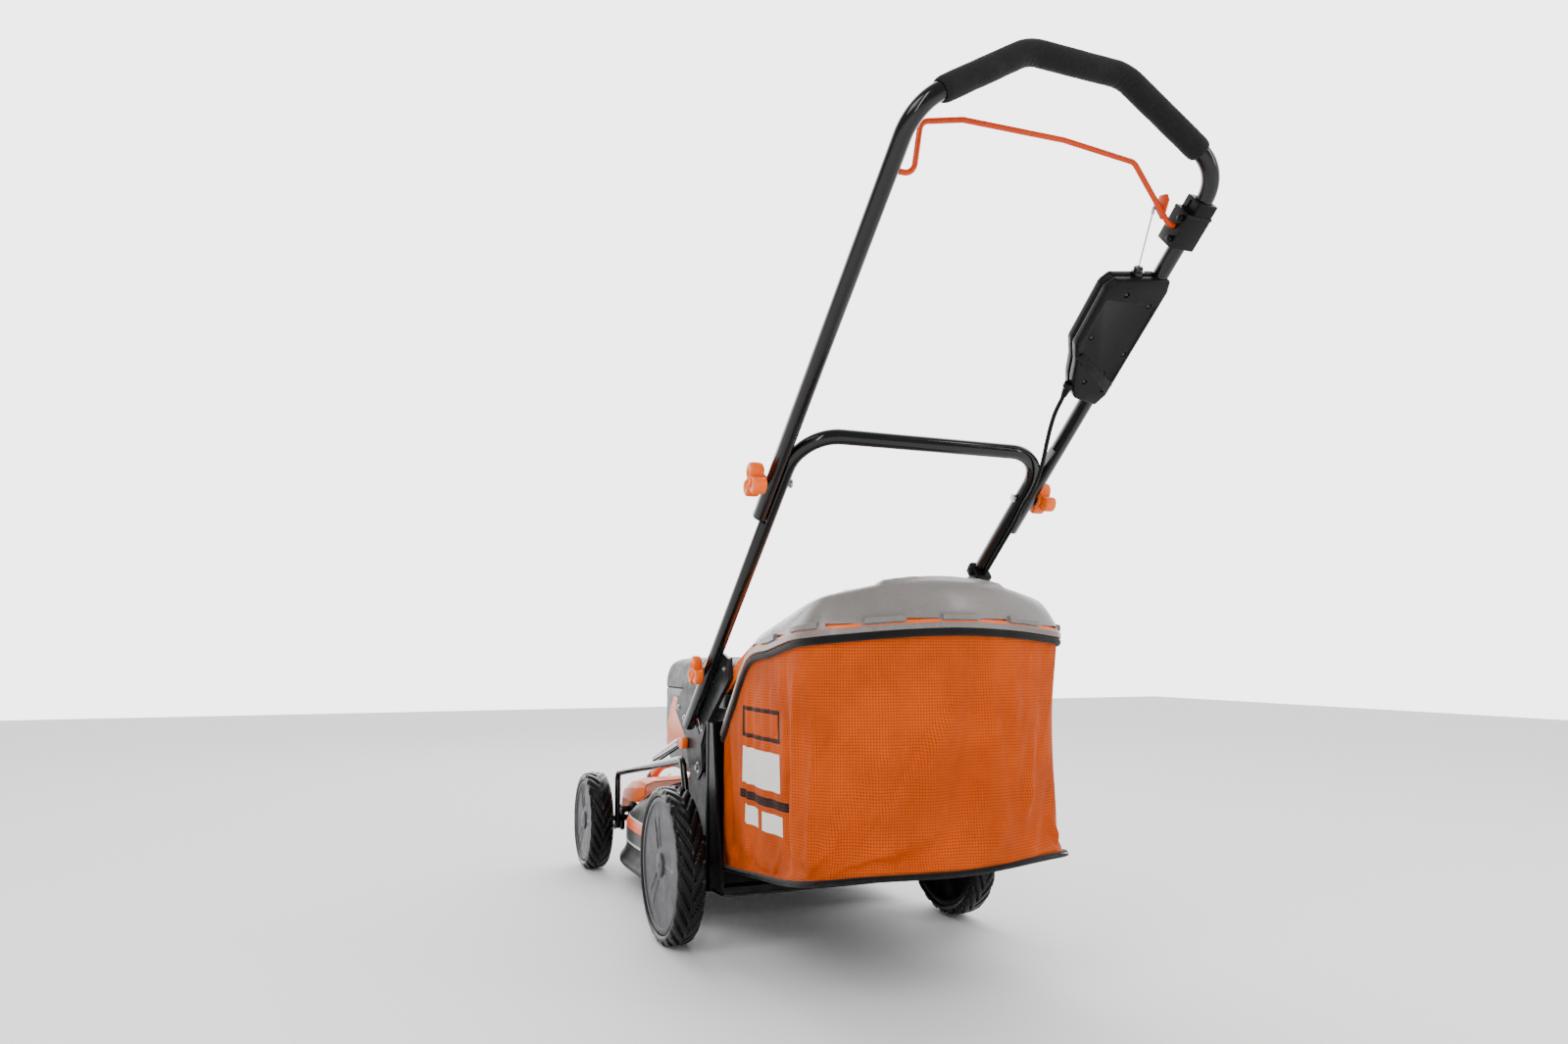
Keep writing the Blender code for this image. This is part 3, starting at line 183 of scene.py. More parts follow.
def finish(name, colour, rough, metal=0.0, mottle=0.12, grain=900.0, grain_depth=0.00004, grain_share=0.35,
           coat=0.0, wear=0.0, dust=0.0, brushed=None, sheen=0.0, shine=0.12):
    """A moulded, painted or plated surface: cloudy colour, uneven gloss, fine grain, pale worn edges, dust."""
    n = Nodes(name)
    cloudy = n.ramp(n.noise(14.0, 5.0), 0.34, 0.68)
    base = n.mix(cloudy, tone(colour, 1 - mottle), tone(colour, 1 + mottle))
    speckle = n.ramp(n.noise(2600.0, 1.0), 0.6, 0.74)
    base = n.mix(n.math("MULTIPLY", speckle, 0.1), base, tone(colour, 2.2))
    if wear:
        edge = n.ramp(n.add("ShaderNodeNewGeometry").outputs["Pointiness"], 0.525, 0.6)
        broken = n.math("MULTIPLY", edge, n.ramp(n.noise(120.0, 6.0), 0.42, 0.6))
        base = n.mix(n.math("MULTIPLY", broken, wear), base, tone([c * 0.7 + 0.05 for c in colour], 1.5))
    if dust:
        up = n.add("ShaderNodeSeparateXYZ")
        n.put(up.inputs[0], n.add("ShaderNodeNewGeometry").outputs["Normal"])
        lying = n.math("MULTIPLY", n.ramp(up.outputs["Z"], 0.2, 1.0),
                       n.ramp(n.noise(48.0, 8.0, 0.7), 0.48, 0.72))
        base = n.mix(n.math("MULTIPLY", lying, dust), base, (0.2, 0.19, 0.17, 1.0))
    uneven = n.noise(38.0, 6.0, 0.6, brushed)
    uneven = n.ramp(uneven, 0.3, 0.72, max(0.03, rough - 0.07), min(1.0, rough + 0.09))
    n.shade(Base_Color=base, Roughness=uneven, Metallic=metal, Specular_IOR_Level=shine, Coat_Weight=coat,
            Coat_Roughness=0.06)
    if sheen:
        n.shade(Sheen_Weight=sheen, Sheen_Roughness=0.5)
    grained = n.bump(n.noise(grain, 2.0, 0.6, brushed), grain_share, grain_depth)
    n.shade(Normal=n.bump(n.noise(22.0, 2.0), 0.25, 0.0006, grained))
    return n.material


def foam_finish():
    n = Nodes("grip_foam")
    cells = n.add("ShaderNodeTexVoronoi", feature="F1")
    cells.inputs["Scale"].default_value = 750.0
    n.put(cells.inputs["Vector"], n.object_space)
    pits = n.ramp(cells.outputs["Distance"], 0.05, 0.55)
    base = n.mix(pits, (0.0015, 0.0015, 0.0018, 1), (0.0085, 0.0085, 0.0092, 1))
    rubbed = n.ramp(n.noise(26.0, 5.0), 0.5, 0.75)
    n.shade(Base_Color=n.mix(n.math("MULTIPLY", rubbed, 0.35), base, (0.02, 0.02, 0.021, 1)),
            Roughness=n.ramp(n.noise(60.0), 0.3, 0.7, 0.72, 0.92),
            Normal=n.bump(pits, 0.3, 0.0003, n.bump(n.noise(160.0), 0.2, 0.0004)),
            Specular_IOR_Level=0.1, Sheen_Weight=0.04, Sheen_Roughness=0.6)
    return n.material


THREAD_PITCH = 0.0034       # of the bag's open weave
WHITE, BLACK = (0.8, 0.79, 0.77, 1), (0.008, 0.008, 0.009, 1)
BAG_PRINT = [  # plain blocks on the bag's left side: walked from its front edge, height, ink
    ((0.086, 0.218), (0.19, 0.236), WHITE), ((0.08, 0.236), (0.17, 0.181), BLACK),
    ((0.096, 0.15), (0.14, 0.163), WHITE), ((0.165, 0.222), (0.14, 0.163), WHITE),
    ((0.084, 0.222), (0.283, 0.288), BLACK), ((0.084, 0.222), (0.249, 0.254), BLACK),
    ((0.084, 0.091), (0.249, 0.288), BLACK), ((0.215, 0.222), (0.249, 0.288), BLACK)]


def cloth_finish():
    """Open orange weave read from the cloth's own U (round) and V (up), in metres."""
    n = Nodes("bag_weave")
    split = n.add("ShaderNodeSeparateXYZ")
    n.put(split.inputs[0], n.add("ShaderNodeUVMap", uv_map="flat").outputs[0])
    turn = 2 * math.pi / THREAD_PITCH
    wobble = n.math("MULTIPLY", n.noise(22.0, 2.0), 2.2)
    across = n.math("SINE", n.math("ADD", n.math("MULTIPLY", split.outputs["X"], turn), wobble))
    along = n.math("SINE", n.math("ADD", n.math("MULTIPLY", split.outputs["Y"], turn), wobble))
    hole = n.ramp(n.math("MINIMUM", across, along), -0.1, 0.75)
    colour = (0.5, 0.066, 0.001)
    cloudy = n.ramp(n.noise(11.0, 6.0, 0.6), 0.32, 0.7)
    base = n.mix(cloudy, tone(colour, 0.84), tone(colour, 1.1))
    slub = n.ramp(n.noise(420.0, 2.0, 0.5, (1, 1, 0.08)), 0.55, 0.75)
    base = n.mix(n.math("MULTIPLY", slub, 0.25), base, tone(colour, 1.35))
    # Painted shade: the weave's holes are painted dark for the shaded inside of the bag seen through them.
    base = n.mix(n.math("MULTIPLY", hole, 0.72), base, (0.06, 0.003, 0.0005, 1))
    for round_it, up_it, ink in BAG_PRINT:
        inside = 1.0
        for socket, (low, high) in (("X", round_it), ("Y", up_it)):
            here = split.outputs[socket]
            inside = n.math("MULTIPLY", inside, n.math("GREATER_THAN", here, low))
            inside = n.math("MULTIPLY", inside, n.math("LESS_THAN", here, high))
        # Painted shade: the print is thinned over the weave's holes so that their painted dark shows through.
        solid_ink = n.math("MULTIPLY", inside, n.math("SUBTRACT", 1.0, n.math("MULTIPLY", hole, 0.55)))
        base = n.mix(solid_ink, base, ink)
    n.shade(Base_Color=base, Roughness=0.78, Specular_IOR_Level=0.12, Sheen_Weight=0.03,
            Sheen_Roughness=0.45, Sheen_Tint=(1.0, 0.55, 0.3, 1))
    slanted = n.add("ShaderNodeCombineXYZ")
    for socket, u_share, v_share, scale in (("X", 0.8, -0.6, 13.0), ("Y", 0.6, 0.8, 4.0)):
        both = n.math("ADD", n.math("MULTIPLY", split.outputs["X"], u_share),
                      n.math("MULTIPLY", split.outputs["Y"], v_share))
        n.put(slanted.inputs[socket], n.math("MULTIPLY", both, scale))
    streaks = n.add("ShaderNodeTexNoise")
    streaks.inputs["Scale"].default_value = 1.0
    streaks.inputs["Detail"].default_value = 2.5
    n.put(streaks.inputs["Vector"], slanted.outputs[0])
    ridge = n.math("ABSOLUTE", n.math("SUBTRACT", streaks.outputs["Fac"], 0.5))
    ridge = n.ramp(ridge, 0.0, 0.16, 1.0, 0.0)
    crease = n.bump(ridge, 0.55, 0.006, n.bump(n.noise(19.0, 7.0, 0.62), 0.35, 0.0035))
    n.shade(Normal=n.bump(n.math("SUBTRACT", 1.0, hole), 0.55, 0.0006, crease))
    return n.material


def label_finish():
    """Plain generic stripes: orange over black with a pale line below."""
    n = Nodes("deck_label")
    split = n.add("ShaderNodeSeparateXYZ")
    n.put(split.inputs[0], n.object_space)
    height = split.outputs["Z"]
    speck = n.ramp(n.noise(900.0, 2.0), 0.35, 0.65, 0.85, 1.1)
    black, pale = (0.006, 0.006, 0.007, 1), (0.6, 0.58, 0.56, 1)
    base = black
    for test, level, colour in (("GREATER_THAN", 0.0985, (0.86, 0.08, 0.001, 1)),
                                ("GREATER_THAN", 0.115, pale),
                                ("LESS_THAN", 0.077, pale), ("LESS_THAN", 0.0735, black)):
        base = n.mix(n.math(test, height, level), base, colour)
    n.shade(Base_Color=base, Roughness=n.math("MULTIPLY", speck, 0.34),
            Normal=n.bump(n.noise(300.0), 0.15, 0.0002))
    return n.material


MOULDED = {  # coat: material, record slot, colour, roughness and what differs from the usual
    "rubber": ("tyre_rubber", "tyre", (0.0028, 0.0028, 0.003), 0.3,
               dict(mottle=0.3, grain=1100, grain_depth=0.00007, wear=0.06, dust=0.015, shine=0.2)),
    "disc": ("wheel_plastic", "wheel", (0.0045, 0.0045, 0.0048), 0.5, dict(grain=1300)),
    "hubcap": ("hubcap_plastic", "hubcap", (0.029, 0.028, 0.035), 0.4,
               dict(mottle=0.08, grain=1500, wear=0.14, dust=0.02, shine=0.25)),
    "deck": ("deck_plastic", "deck", (0.003, 0.003, 0.0033), 0.36,
             dict(grain=1200, grain_depth=0.00008, wear=0.06, dust=0.01, shine=0.08)),
    "hood": ("hood_plastic", "grey_hood", (0.021, 0.022, 0.025), 0.34,
             dict(grain=1400, grain_depth=0.00006, wear=0.08, dust=0.02, shine=0.25)),
    "dark_lid": ("battery_lid_plastic", "dark_lid", (0.016, 0.017, 0.018), 0.36,
                 dict(grain=1500, wear=0.08, dust=0.03)),
    "orange": ("orange_plastic", "orange_plastic", (0.84, 0.12, 0.001), 0.36,
               dict(mottle=0.06, grain=1500, grain_depth=0.00003, wear=0.08, dust=0.02, shine=0.3)),
    "orange_paint": ("orange_powder_coat", "orange_paint", (0.5, 0.036, 0.001), 0.26,
                     dict(mottle=0.06, grain=700, grain_depth=0.00005, coat=0.2)),
    "gloss": ("black_powder_coat", "black_paint", (0.0025, 0.0025, 0.0028), 0.16,
              dict(mottle=0.15, grain=520, grain_depth=0.00005, coat=0.3, wear=0.02, shine=0.2)),
    "bracket": ("bracket_paint", "bracket_steel", (0.014, 0.015, 0.016), 0.36,
                dict(grain=800, grain_depth=0.00006, wear=0.18, dust=0.03)),
    "plastic": ("black_satin_plastic", "black_plastic", (0.0036, 0.0036, 0.004), 0.36,
                dict(grain=1400, grain_depth=0.00006, wear=0.08, dust=0.02)),
    "cable": ("cable_sheath", "cable", (0.0035, 0.0035, 0.0038), 0.46, {}),
    "steel": ("zinc_steel", "steel", (0.42, 0.42, 0.43), 0.28,
              dict(metal=1.0, grain=400, brushed=(1, 1, 14))),
    "chrome": ("bright_spring_steel", "chrome", (0.66, 0.66, 0.68), 0.14, dict(metal=1.0, mottle=0.05)),
    "lid": ("bag_lid_plastic", "lid_grey", (0.175, 0.16, 0.152), 0.27,
            dict(mottle=0.05, grain=1500, grain_depth=0.00003, wear=0.08, dust=0.02, shine=0.45)),
    "piping": ("piping_tape", "black_plastic", (0.0045, 0.0045, 0.0052), 0.85,
               dict(mottle=0.3, grain=1600, grain_depth=0.0003, grain_share=0.8, sheen=0.15)),
    "board": ("circuit_board", "board", (0.01, 0.08, 0.026), 0.35, dict(grain=600)),
}
FINISHES = {coat: (finish(name, colour, rough, **rest), slot)
            for coat, (name, slot, colour, rough, rest) in MOULDED.items()}
FINISHES["foam"] = (foam_finish(), "foam")
FINISHES["cloth"] = (cloth_finish(), "orange_cloth")
FINISHES["label"] = (label_finish(), "orange_plastic")


# ---------------------------------------------------------------- mesh helpers
def new_object(name, bm):
    bmesh.ops.recalc_face_normals(bm, faces=bm.faces)
    mesh = bpy.data.meshes.new(name)
    bm.to_mesh(mesh)
    bm.free()
    obj = bpy.data.objects.new(name, mesh)
    bpy.context.scene.collection.objects.link(obj)
    return obj


def solid(loops, ring=False):
    """A body skinned over loops of points; a ring's last loop joins its first."""
    bm = bmesh.new()
    rows = [[bm.verts.new(Vector(p)) for p in loop] for loop in loops]
    pairs = list(zip(rows, rows[1:]))
    if ring:
        pairs.append((rows[-1], rows[0]))
    for low, high in pairs:
        for i in range(len(low)):
            k = (i + 1) % len(low)
            bm.faces.new((low[i], low[k], high[k], high[i]))
    if not ring:
        bm.faces.new(list(reversed(rows[0])))
        bm.faces.new(rows[-1])
    return new_object("solid", bm)


def baked(obj):
    """Replace an object's mesh by what its modifiers make of it."""
    graph = bpy.context.evaluated_depsgraph_get()
    mesh = bpy.data.meshes.new_from_object(obj.evaluated_get(graph))
    obj.modifiers.clear()
    obj.data = mesh
    return obj


def modifier(obj, kind, **settings):
    step = obj.modifiers.new(kind.capitalize(), kind)
    for key, value in settings.items():
        setattr(step, key, value)
    bpy.context.view_layer.update()
    return obj


def combine(obj, others, operation):
    for other in others:
        baked(modifier(obj, "BOOLEAN", operation=operation, object=other, solver="EXACT"))
        bpy.data.objects.remove(other, do_unlink=True)
    return obj


def join(obj, *others):
    return combine(obj, others, "UNION")


def cut(obj, *others):
    return combine(obj, others, "DIFFERENCE")


def gather(objects):
    """One object from several separate bodies, such as a set of bolts."""
    bm = bmesh.new()
    for obj in objects:
        bm.from_mesh(obj.data)
        bpy.data.objects.remove(obj, do_unlink=True)
    return new_object("group", bm)


def soften(obj, width, segments=3, angle=30):
    return baked(modifier(obj, "BEVEL", width=width, segments=segments, limit_method="ANGLE",
                          angle_limit=math.radians(angle)))


def thicken(obj, thickness):
    return baked(modifier(obj, "SOLIDIFY", thickness=thickness, offset=-1.0, use_even_offset=True))


def box(low, high):
    (x0, y0, z0), (x1, y1, z1) = low, high
    base = ((x0, y0), (x1, y0), (x1, y1), (x0, y1))
    return solid([[(x, y, z) for x, y in base] for z in (z0, z1)])


def prism_x(outline, x0, x1):
    return solid([[(x, y, z) for y, z in outline] for x in (x0, x1)])


def circle(count, offset=0.0):
    """The angles of even steps round a circle."""
    return [2 * math.pi * (k + offset) / count for k in range(count)]


def turned(profile, centre, axis, sides=32, ring=False):
    """A body of revolution from a profile of (distance along the axis, radius)."""
    axis = Vector(axis).normalized()
    side = axis.orthogonal().normalized()
    up = axis.cross(side)
    return solid([[Vector(centre) + axis * along + radius * (math.cos(a) * side + math.sin(a) * up)
                   for a in circle(sides)] for along, radius in profile], ring=ring)


def rod(a, b, radius, sides=24, edge=0.0):
    a, b = Vector(a), Vector(b)
    length = (b - a).length
    profile = [(0, radius), (length, radius)]
    if edge:
        profile = [(0, radius - edge), (edge * 0.3, radius - edge * 0.3), (edge, radius),
                   (length - edge, radius), (length - edge * 0.3, radius - edge * 0.3),
                   (length, radius - edge)]
    return turned(profile, a, b - a, sides)


def rounded_path(points, radius, steps=10):
    """A polyline whose corners are replaced by arcs of the given bend radius."""
    points = [Vector(p) for p in points]
    path = [points[0]]
    for before, corner, after in zip(points, points[1:], points[2:]):
        a, b = (before - corner).normalized(), (after - corner).normalized()
        if a.dot(b) < -0.9999:
            path.append(corner)
            continue
        half = a.angle(b) / 2
        reach = min(radius / math.tan(half), 0.48 * (before - corner).length, 0.48 * (after - corner).length)
        bend = reach * math.tan(half)
        centre = corner + (a + b).normalized() * math.hypot(bend, reach)
        first, last = corner + a * reach - centre, corner + b * reach - centre
        sweep = first.angle(last)
        for k in range(steps + 1):
            share = k / steps
            turn = math.sin((1 - share) * sweep) * first + math.sin(share * sweep) * last
            path.append(centre + turn / math.sin(sweep))
    path.append(points[-1])
    return path


def spline(a, b, c, d, t):
    """A value on the Catmull-Rom curve between b and c."""
    return 0.5 * (2 * b + (c - a) * t + (2 * a - 5 * b + 4 * c - d) * t * t + (3 * b - a - 3 * c + d) * t ** 3)


def smooth_path(points, spacing):
    """A smooth curve through given points."""
    pts = [Vector(p) for p in points]
    pts = [2 * pts[0] - pts[1]] + pts + [2 * pts[-1] - pts[-2]]
    path = []
    for four in zip(pts, pts[1:], pts[2:], pts[3:]):
        steps = max(1, round((four[2] - four[1]).length / spacing))
        path += [spline(*four, k / steps) for k in range(steps)]
    path.append(pts[-2])
    return path


def path_frames(path, side=None):
    """Each point of a path with two directions square to it."""
    frames = []
    for i, point in enumerate(path):
        ahead = path[min(i + 1, len(path) - 1)] - point
        back = point - path[max(i - 1, 0)]
        along = (ahead.normalized() + back.normalized()).normalized()
        if side is None:
            side = along.orthogonal().normalized()
        side = (side - along * side.dot(along)).normalized()
        frames.append((point, side, along.cross(side)))
    return frames


def swept(path, radius, sides=16, hollow=0.0, flat=1.0, start=None):
    """A bar along a path, or a sleeve with a hollow radius; flat narrows it along its first direction."""
    frames = path_frames(path, start)

    def rings(scale):
        return [[point + radius * scale * (math.cos(a) * side * flat + math.sin(a) * up)
                 for a in circle(sides, 0.5)] for point, side, up in frames]

    if hollow:
        return solid(rings(1.0) + rings(hollow / radius)[::-1], ring=True)
    return solid(rings(1.0))


def skin(grid):
    """An open surface over a grid of points."""
    bm = bmesh.new()
    rows = [[bm.verts.new(Vector(p)) for p in row] for row in grid]
    for low, high in zip(rows, rows[1:]):
        for i in range(len(low) - 1):
            bm.faces.new((low[i], high[i], high[i + 1], low[i + 1]))
    return new_object("skin", bm)


def smoothstep(value, low, high):
    t = max(0.0, min(1.0, (value - low) / (high - low)))
    return t * t * (3 - 2 * t)


def leg_point(x, s, n=0.0):
    """A point beside a handle leg: s metres up along it from the ground, n square to it."""
    return Vector((x, LEG_FOOT.y, 0)) + s * LEG_ALONG + n * LEG_NORMAL


def leg_prism(outline, n0, n1):
    return solid([[leg_point(x, s, n) for x, s in outline] for n in (n0, n1)])


def leg_box(x, s, n):
    return leg_prism([(x[0], s[0]), (x[1], s[0]), (x[1], s[1]), (x[0], s[1])], *n)


def leg_bore(x, radius, s0, s1, n=0.0):
    return rod(leg_point(x, s0, n), leg_point(x, s1, n), radius)


def capsule(a, b, radius, steps=8):
    """The outline of a bar with round ends."""
    a, b = Vector(a), Vector(b)
    along = (b - a).normalized()
    start = math.atan2(along.y, along.x)
    outline = []
    for centre, turn in ((b, start - math.pi / 2), (a, start + math.pi / 2)):
        for k in range(steps + 1):
            angle = turn + math.pi * k / steps
            outline.append((centre.x + radius * math.cos(angle), centre.y + radius * math.sin(angle)))
    return outline


def hex_bolt(point, axis, radius, height):
    """A washer and a hexagon head, standing on point."""
    washer = turned([(0, radius * 1.75), (height * 0.16, radius * 1.75), (height * 0.2, radius * 1.68),
                     (height * 0.21, radius * 0.8)], point, axis, 32)
    head = turned([(height * 0.15, radius), (height * 0.85, radius), (height, radius * 0.82)], point, axis, 6)
    return gather([washer, soften(head, radius * 0.06, 2)])


# ---------------------------------------------------------------- placing
def coated(obj, coat):
    """Give an object one of the finishes."""
    material, slot = FINISHES[coat]
    obj.data.materials.clear()
    obj.data.materials.append(material)


def placed(obj, name, coat, angle=35):
    obj.name = name
    obj.data.name = name
    obj.data.transform(Matrix.Translation(TO_ROW))
    obj.data.shade_smooth()
    obj.data.set_sharp_from_angle(angle=math.radians(angle))
    coated(obj, coat)


def piece(obj, name, body, coat, *stands_for, angle=35):
    """A finished piece that rides a body, and the CAD nodes it stands for."""
    placed(obj, name, coat, angle)
    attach(obj, body)
    if stands_for:
        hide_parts(*stands_for)


def carried(node, coat, bevel):
    """Keep a CAD node, with its finish and small rounded edges."""
    obj = frame["nodes"][node]
    coated(obj, coat)
    modifier(obj, "BEVEL", width=bevel, segments=2, limit_method="ANGLE", angle_limit=math.radians(35))


SIDES = ((-1, "left"), (1, "right"))


# ---------------------------------------------------------------- wheels
def tyre(node, side, radius, lugs, around):
    """A tyre with V-shaped tread blocks that wrap over both shoulders."""
    low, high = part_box(node)
    inner_x = low.x if side > 0 else high.x
    width = high.x - low.x
    hub = Vector((inner_x, middle(node).y - AXLE_Y, radius))
    bead = radius - 0.014
    half = width / 2
    section = []                    # (across, radius, how deep the grooves bite)
    tread_half = half - 0.0055
    for k in range(25):
        v = -1 + k / 12
        section.append((half + v * tread_half, radius - 0.0016 * v * v, 1.0))
    shoulder = [(0.003, 0.0034, 0.9), (0.0047, 0.0062, 0.5), (0.0055, 0.0085, 0.0), (0.0052, 0.0105, 0.0),
                (0.004, 0.0126, 0.0), (0.003, radius - bead - 0.0001, 0.0)]     # out, drop, bite
    section += [(half + tread_half + out, radius - drop, bite) for out, drop, bite in shoulder]
    section += [(half - tread_half - out, radius - drop, bite) for out, drop, bite in reversed(shoulder)]
    loops = []
    for angle in circle(around):
        loop = []
        for across, r, bite in section:
            v = (across - half) / half
            slant = 1.55 * abs(v) + (0.5 if v < 0 else 0.0)
            phase = (angle / (2 * math.pi) * lugs + slant) % 1.0
            groove = smoothstep(phase, 0.0, 0.1) * (1 - smoothstep(phase, 0.34, 0.44))
            rib = 1 - 0.75 * (1 - smoothstep(abs(v), 0.04, 0.14))
            depth = 0.0034 * bite * groove * rib
            reach = r - depth
            loop.append(hub + Vector((side * across, reach * math.sin(angle), -reach * math.cos(angle))))
        loops.append(loop)
    return solid(loops, ring=True)


def dial(hub, side, faces, height, ring=False):
    """A round cover: faces lists radius, distance out along X and share of the relief that height gives."""
    loops = []
    for radius, out, relief in faces:
        loop = []
        for angle in circle(144):
            raised = height(radius, angle) * relief
            loop.append(hub + Vector((side * (out + raised), radius * math.sin(angle),
                                      radius * math.cos(angle))))
        loops.append(loop)
    return solid(loops, ring=ring)


def cap_relief(rim):
    """Height over a hubcap's dish: three pairs of ridges, three dimples and a stepped rim."""
    def height(radius, angle):
        raised = 0.0
        for k in range(3):
            turn = angle - 2 * math.pi * k / 3 - 0.35
            u, v = radius * math.cos(turn), radius * math.sin(turn)
            if u <= 0:
                continue
            inside = smoothstep(u, 0.021, 0.026) * (1 - smoothstep(u, rim * 0.86, rim * 0.9))
            for lane in (-1, 1):
                centre = lane * (0.005 + 0.085 * u)
                raised += 0.0011 * inside * (1 - smoothstep(abs(v - centre), 0.0006, 0.0021))
            between = 0.55 * inside * (1 - smoothstep(abs(v), 0.003 + 0.07 * u, 0.005 + 0.085 * u))
            raised -= 0.0007 * between
            opposite = angle - 2 * math.pi * (k + 0.5) / 3 - 0.35
            du, dv = radius * math.cos(opposite) - rim * 0.56, radius * math.sin(opposite)
            raised += 0.0008 * (1 - smoothstep(math.hypot(du, dv), 0.0012, 0.0026))
        return raised
    return height


def wheel(place, word, side, radius, lugs, around):
    node = f"{place}_{word}"
    body = f"wheel_{node}"
    piece(tyre(f"{node}_tyre", side, radius, lugs, around), f"{node}_tread_tyre", body, "rubber",
          f"{node}_tyre", angle=50)
    low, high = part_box(f"{node}_tyre")
    inner_x = low.x if side > 0 else high.x
    width = high.x - low.x
    hub = Vector((inner_x, middle(f"{node}_tyre").y - AXLE_Y, radius))
    rim = radius - 0.0152
    face = width - 0.0062

    front = [(0.0008, width - 0.0002, 0), (0.004, width - 0.0004, 0), (0.006, width - 0.0012, 0),
             (0.007, width - 0.0011, 0), (0.0145, width - 0.0013, 0), (0.0165, width - 0.002, 0),
             (0.0172, width - 0.0042, 0)]
    steps = 44
    for k in range(steps + 1):
        r = 0.0185 + (rim * 0.9 - 0.0185) * k / steps
        front.append((r, width - 0.0046 + 0.001 * (r / rim) ** 2, 1))
    front += [(rim * 0.915, width - 0.0034, 0), (rim * 0.922, width - 0.0022, 0),
              (rim * 0.97, width - 0.0018, 0),
              (rim * 0.982, width - 0.0022, 0), (rim, width - 0.0036, 0), (rim, face + AIR, 0),
              (0.0008, face + AIR, 0)]
    piece(dial(hub, side, front, cap_relief(rim)), f"{node}_cap", body, "hubcap", f"{node}_hubcap", angle=40)

    bead = radius - 0.0146

    def ribs(radius_here, angle):
        lane = (angle * 9 / (2 * math.pi)) % 1.0
        near = min(lane, 1 - lane) * 2 * math.pi / 9 * radius_here
        return -0.01 * (1 - smoothstep(near, 0.0011, 0.0022))

    inner = [(0.0064, face - 0.001, 0), (0.0064, 0.003, 0), (0.015, 0.003, 0), (0.0162, 0.0042, 0),
             (0.0172, 0.016, 0)]
    inner += [(0.018 + (bead - 0.01 - 0.018) * k / 12, 0.016, 1) for k in range(13)]
    inner += [(bead - 0.006, 0.012, 0), (bead - 0.005, 0.0022, 0), (bead, 0.0022, 0), (bead, face - 0.001, 0)]
    piece(dial(hub, side, inner, ribs, ring=True), f"{node}_spoked_disc", body, "disc",
          f"{node}_wheel_disc", angle=35)


def make_wheels():
    for side, word in SIDES:
        wheel("rear", word, side, REAR_RADIUS, 26, 416)
        wheel("front", word, side, FRONT_RADIUS, 22, 352)


# ---------------------------------------------------------------- running gear
CRANK_REACH, CRANK_DROP, LINK_ARM, LINK_X = 0.0473, 0.0232, 0.03, 0.1905
REAR_PIVOT = (CRANK_REACH, REAR_RADIUS + CRANK_DROP)
FRONT_PIVOT = (WHEELBASE - CRANK_REACH, FRONT_RADIUS + CRANK_DROP)


def make_link_bar():
    """The black bar between the cranks, with pressed ends and a bolt at each."""
    rear = Vector((-LINK_X, REAR_PIVOT[0], REAR_PIVOT[1] + LINK_ARM - 0.004))
    front = Vector((-LINK_X, FRONT_PIVOT[0], FRONT_PIVOT[1] - LINK_ARM - 0.004))
    path = rounded_path([rear, (-LINK_X, 0.082, 0.245), (-LINK_X, 0.509, 0.18), front], 0.016, 9)
    bar = swept(path, 0.0064, 20, flat=0.8, start=Vector((1, 0, 0)))
    piece(bar, "link_bar", "height_link", "gloss", "height_link_bar")
    bolts = []
    for end in (rear + Vector((0, 0, 0.004)), front + Vector((0, 0, 0.004))):
        bolts.append(hex_bolt(end - Vector((0.0046, 0, 0)), (-1, 0, 0), 0.004, 0.0042))
    piece(gather(bolts), "link_bolts", "height_link", "steel")
    lever_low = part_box("height_lever")[0]
    top = Vector((0.1993, 0.13, 0.292))
    grip = turned([(-0.006, 0.0052), (-0.003, 0.0085), (0.008, 0.01), (0.022, 0.0108), (0.031, 0.0095),
                   (0.0345, 0.0065), (0.0355, 0.002)], (0, top.y, top.z - 0.004), (0, 0.46, 0.888), 40)
    grip.data.transform(Matrix.Translation((top.x, 0, 0)) @ Matrix.Diagonal((0.44, 1, 1, 1)))
    arm = soften(prism_x(capsule(REAR_PIVOT, (top.y, top.z), 0.0065), 0.1976, 0.201), 0.0006, 2)
    boss = rod((lever_low.x, *REAR_PIVOT), (0.198, *REAR_PIVOT), 0.0062)
    piece(join(arm, boss), "lever_arm", "rear_axle_crank", "gloss", "height_lever")
    piece(grip, "lever_grip", "rear_axle_crank", "orange")
    for node in ("rear_axle", "front_axle", "height_quadrant"):
        carried(node, "gloss", 0.0005)


# ---------------------------------------------------------------- deck, shroud and frame
def deck_point(offset, z, angle):
    """A point of the deck's rounded-square front; the top is a plain ellipse."""
    square = max(0.0, min(1.0, (0.165 - z) / 0.06))
    power = 2.0 + square
    ahead = DECK_HALF + offset
    wide = ahead + 0.005 * square
    c, s = math.cos(angle), math.sin(angle)
    reach = (abs(c / wide) ** power + abs(s / ahead) ** power) ** (-1 / power)
    return (reach * c, DECK_CENTRE_Y + reach * s, z)


def deck_loop(offset, z, steps=72):
    """The deck's outline in plan: rounded front, straight sides, flat rear with round corners."""
    half, rear, corner = DECK_HALF + offset, DECK_REAR_Y - offset, 0.02
    loop = []
    for k in range(7):
        angle = math.radians(-90 + 15 * k)
        loop.append((half - corner + corner * math.cos(angle), rear + corner + corner * math.sin(angle), z))
    loop += [deck_point(offset, z, math.pi * k / steps) for k in range(steps + 1)]
    for k in range(7):
        angle = math.radians(180 + 15 * k)
        loop.append((-half + corner + corner * math.cos(angle), rear + corner + corner * math.sin(angle), z))
    return loop


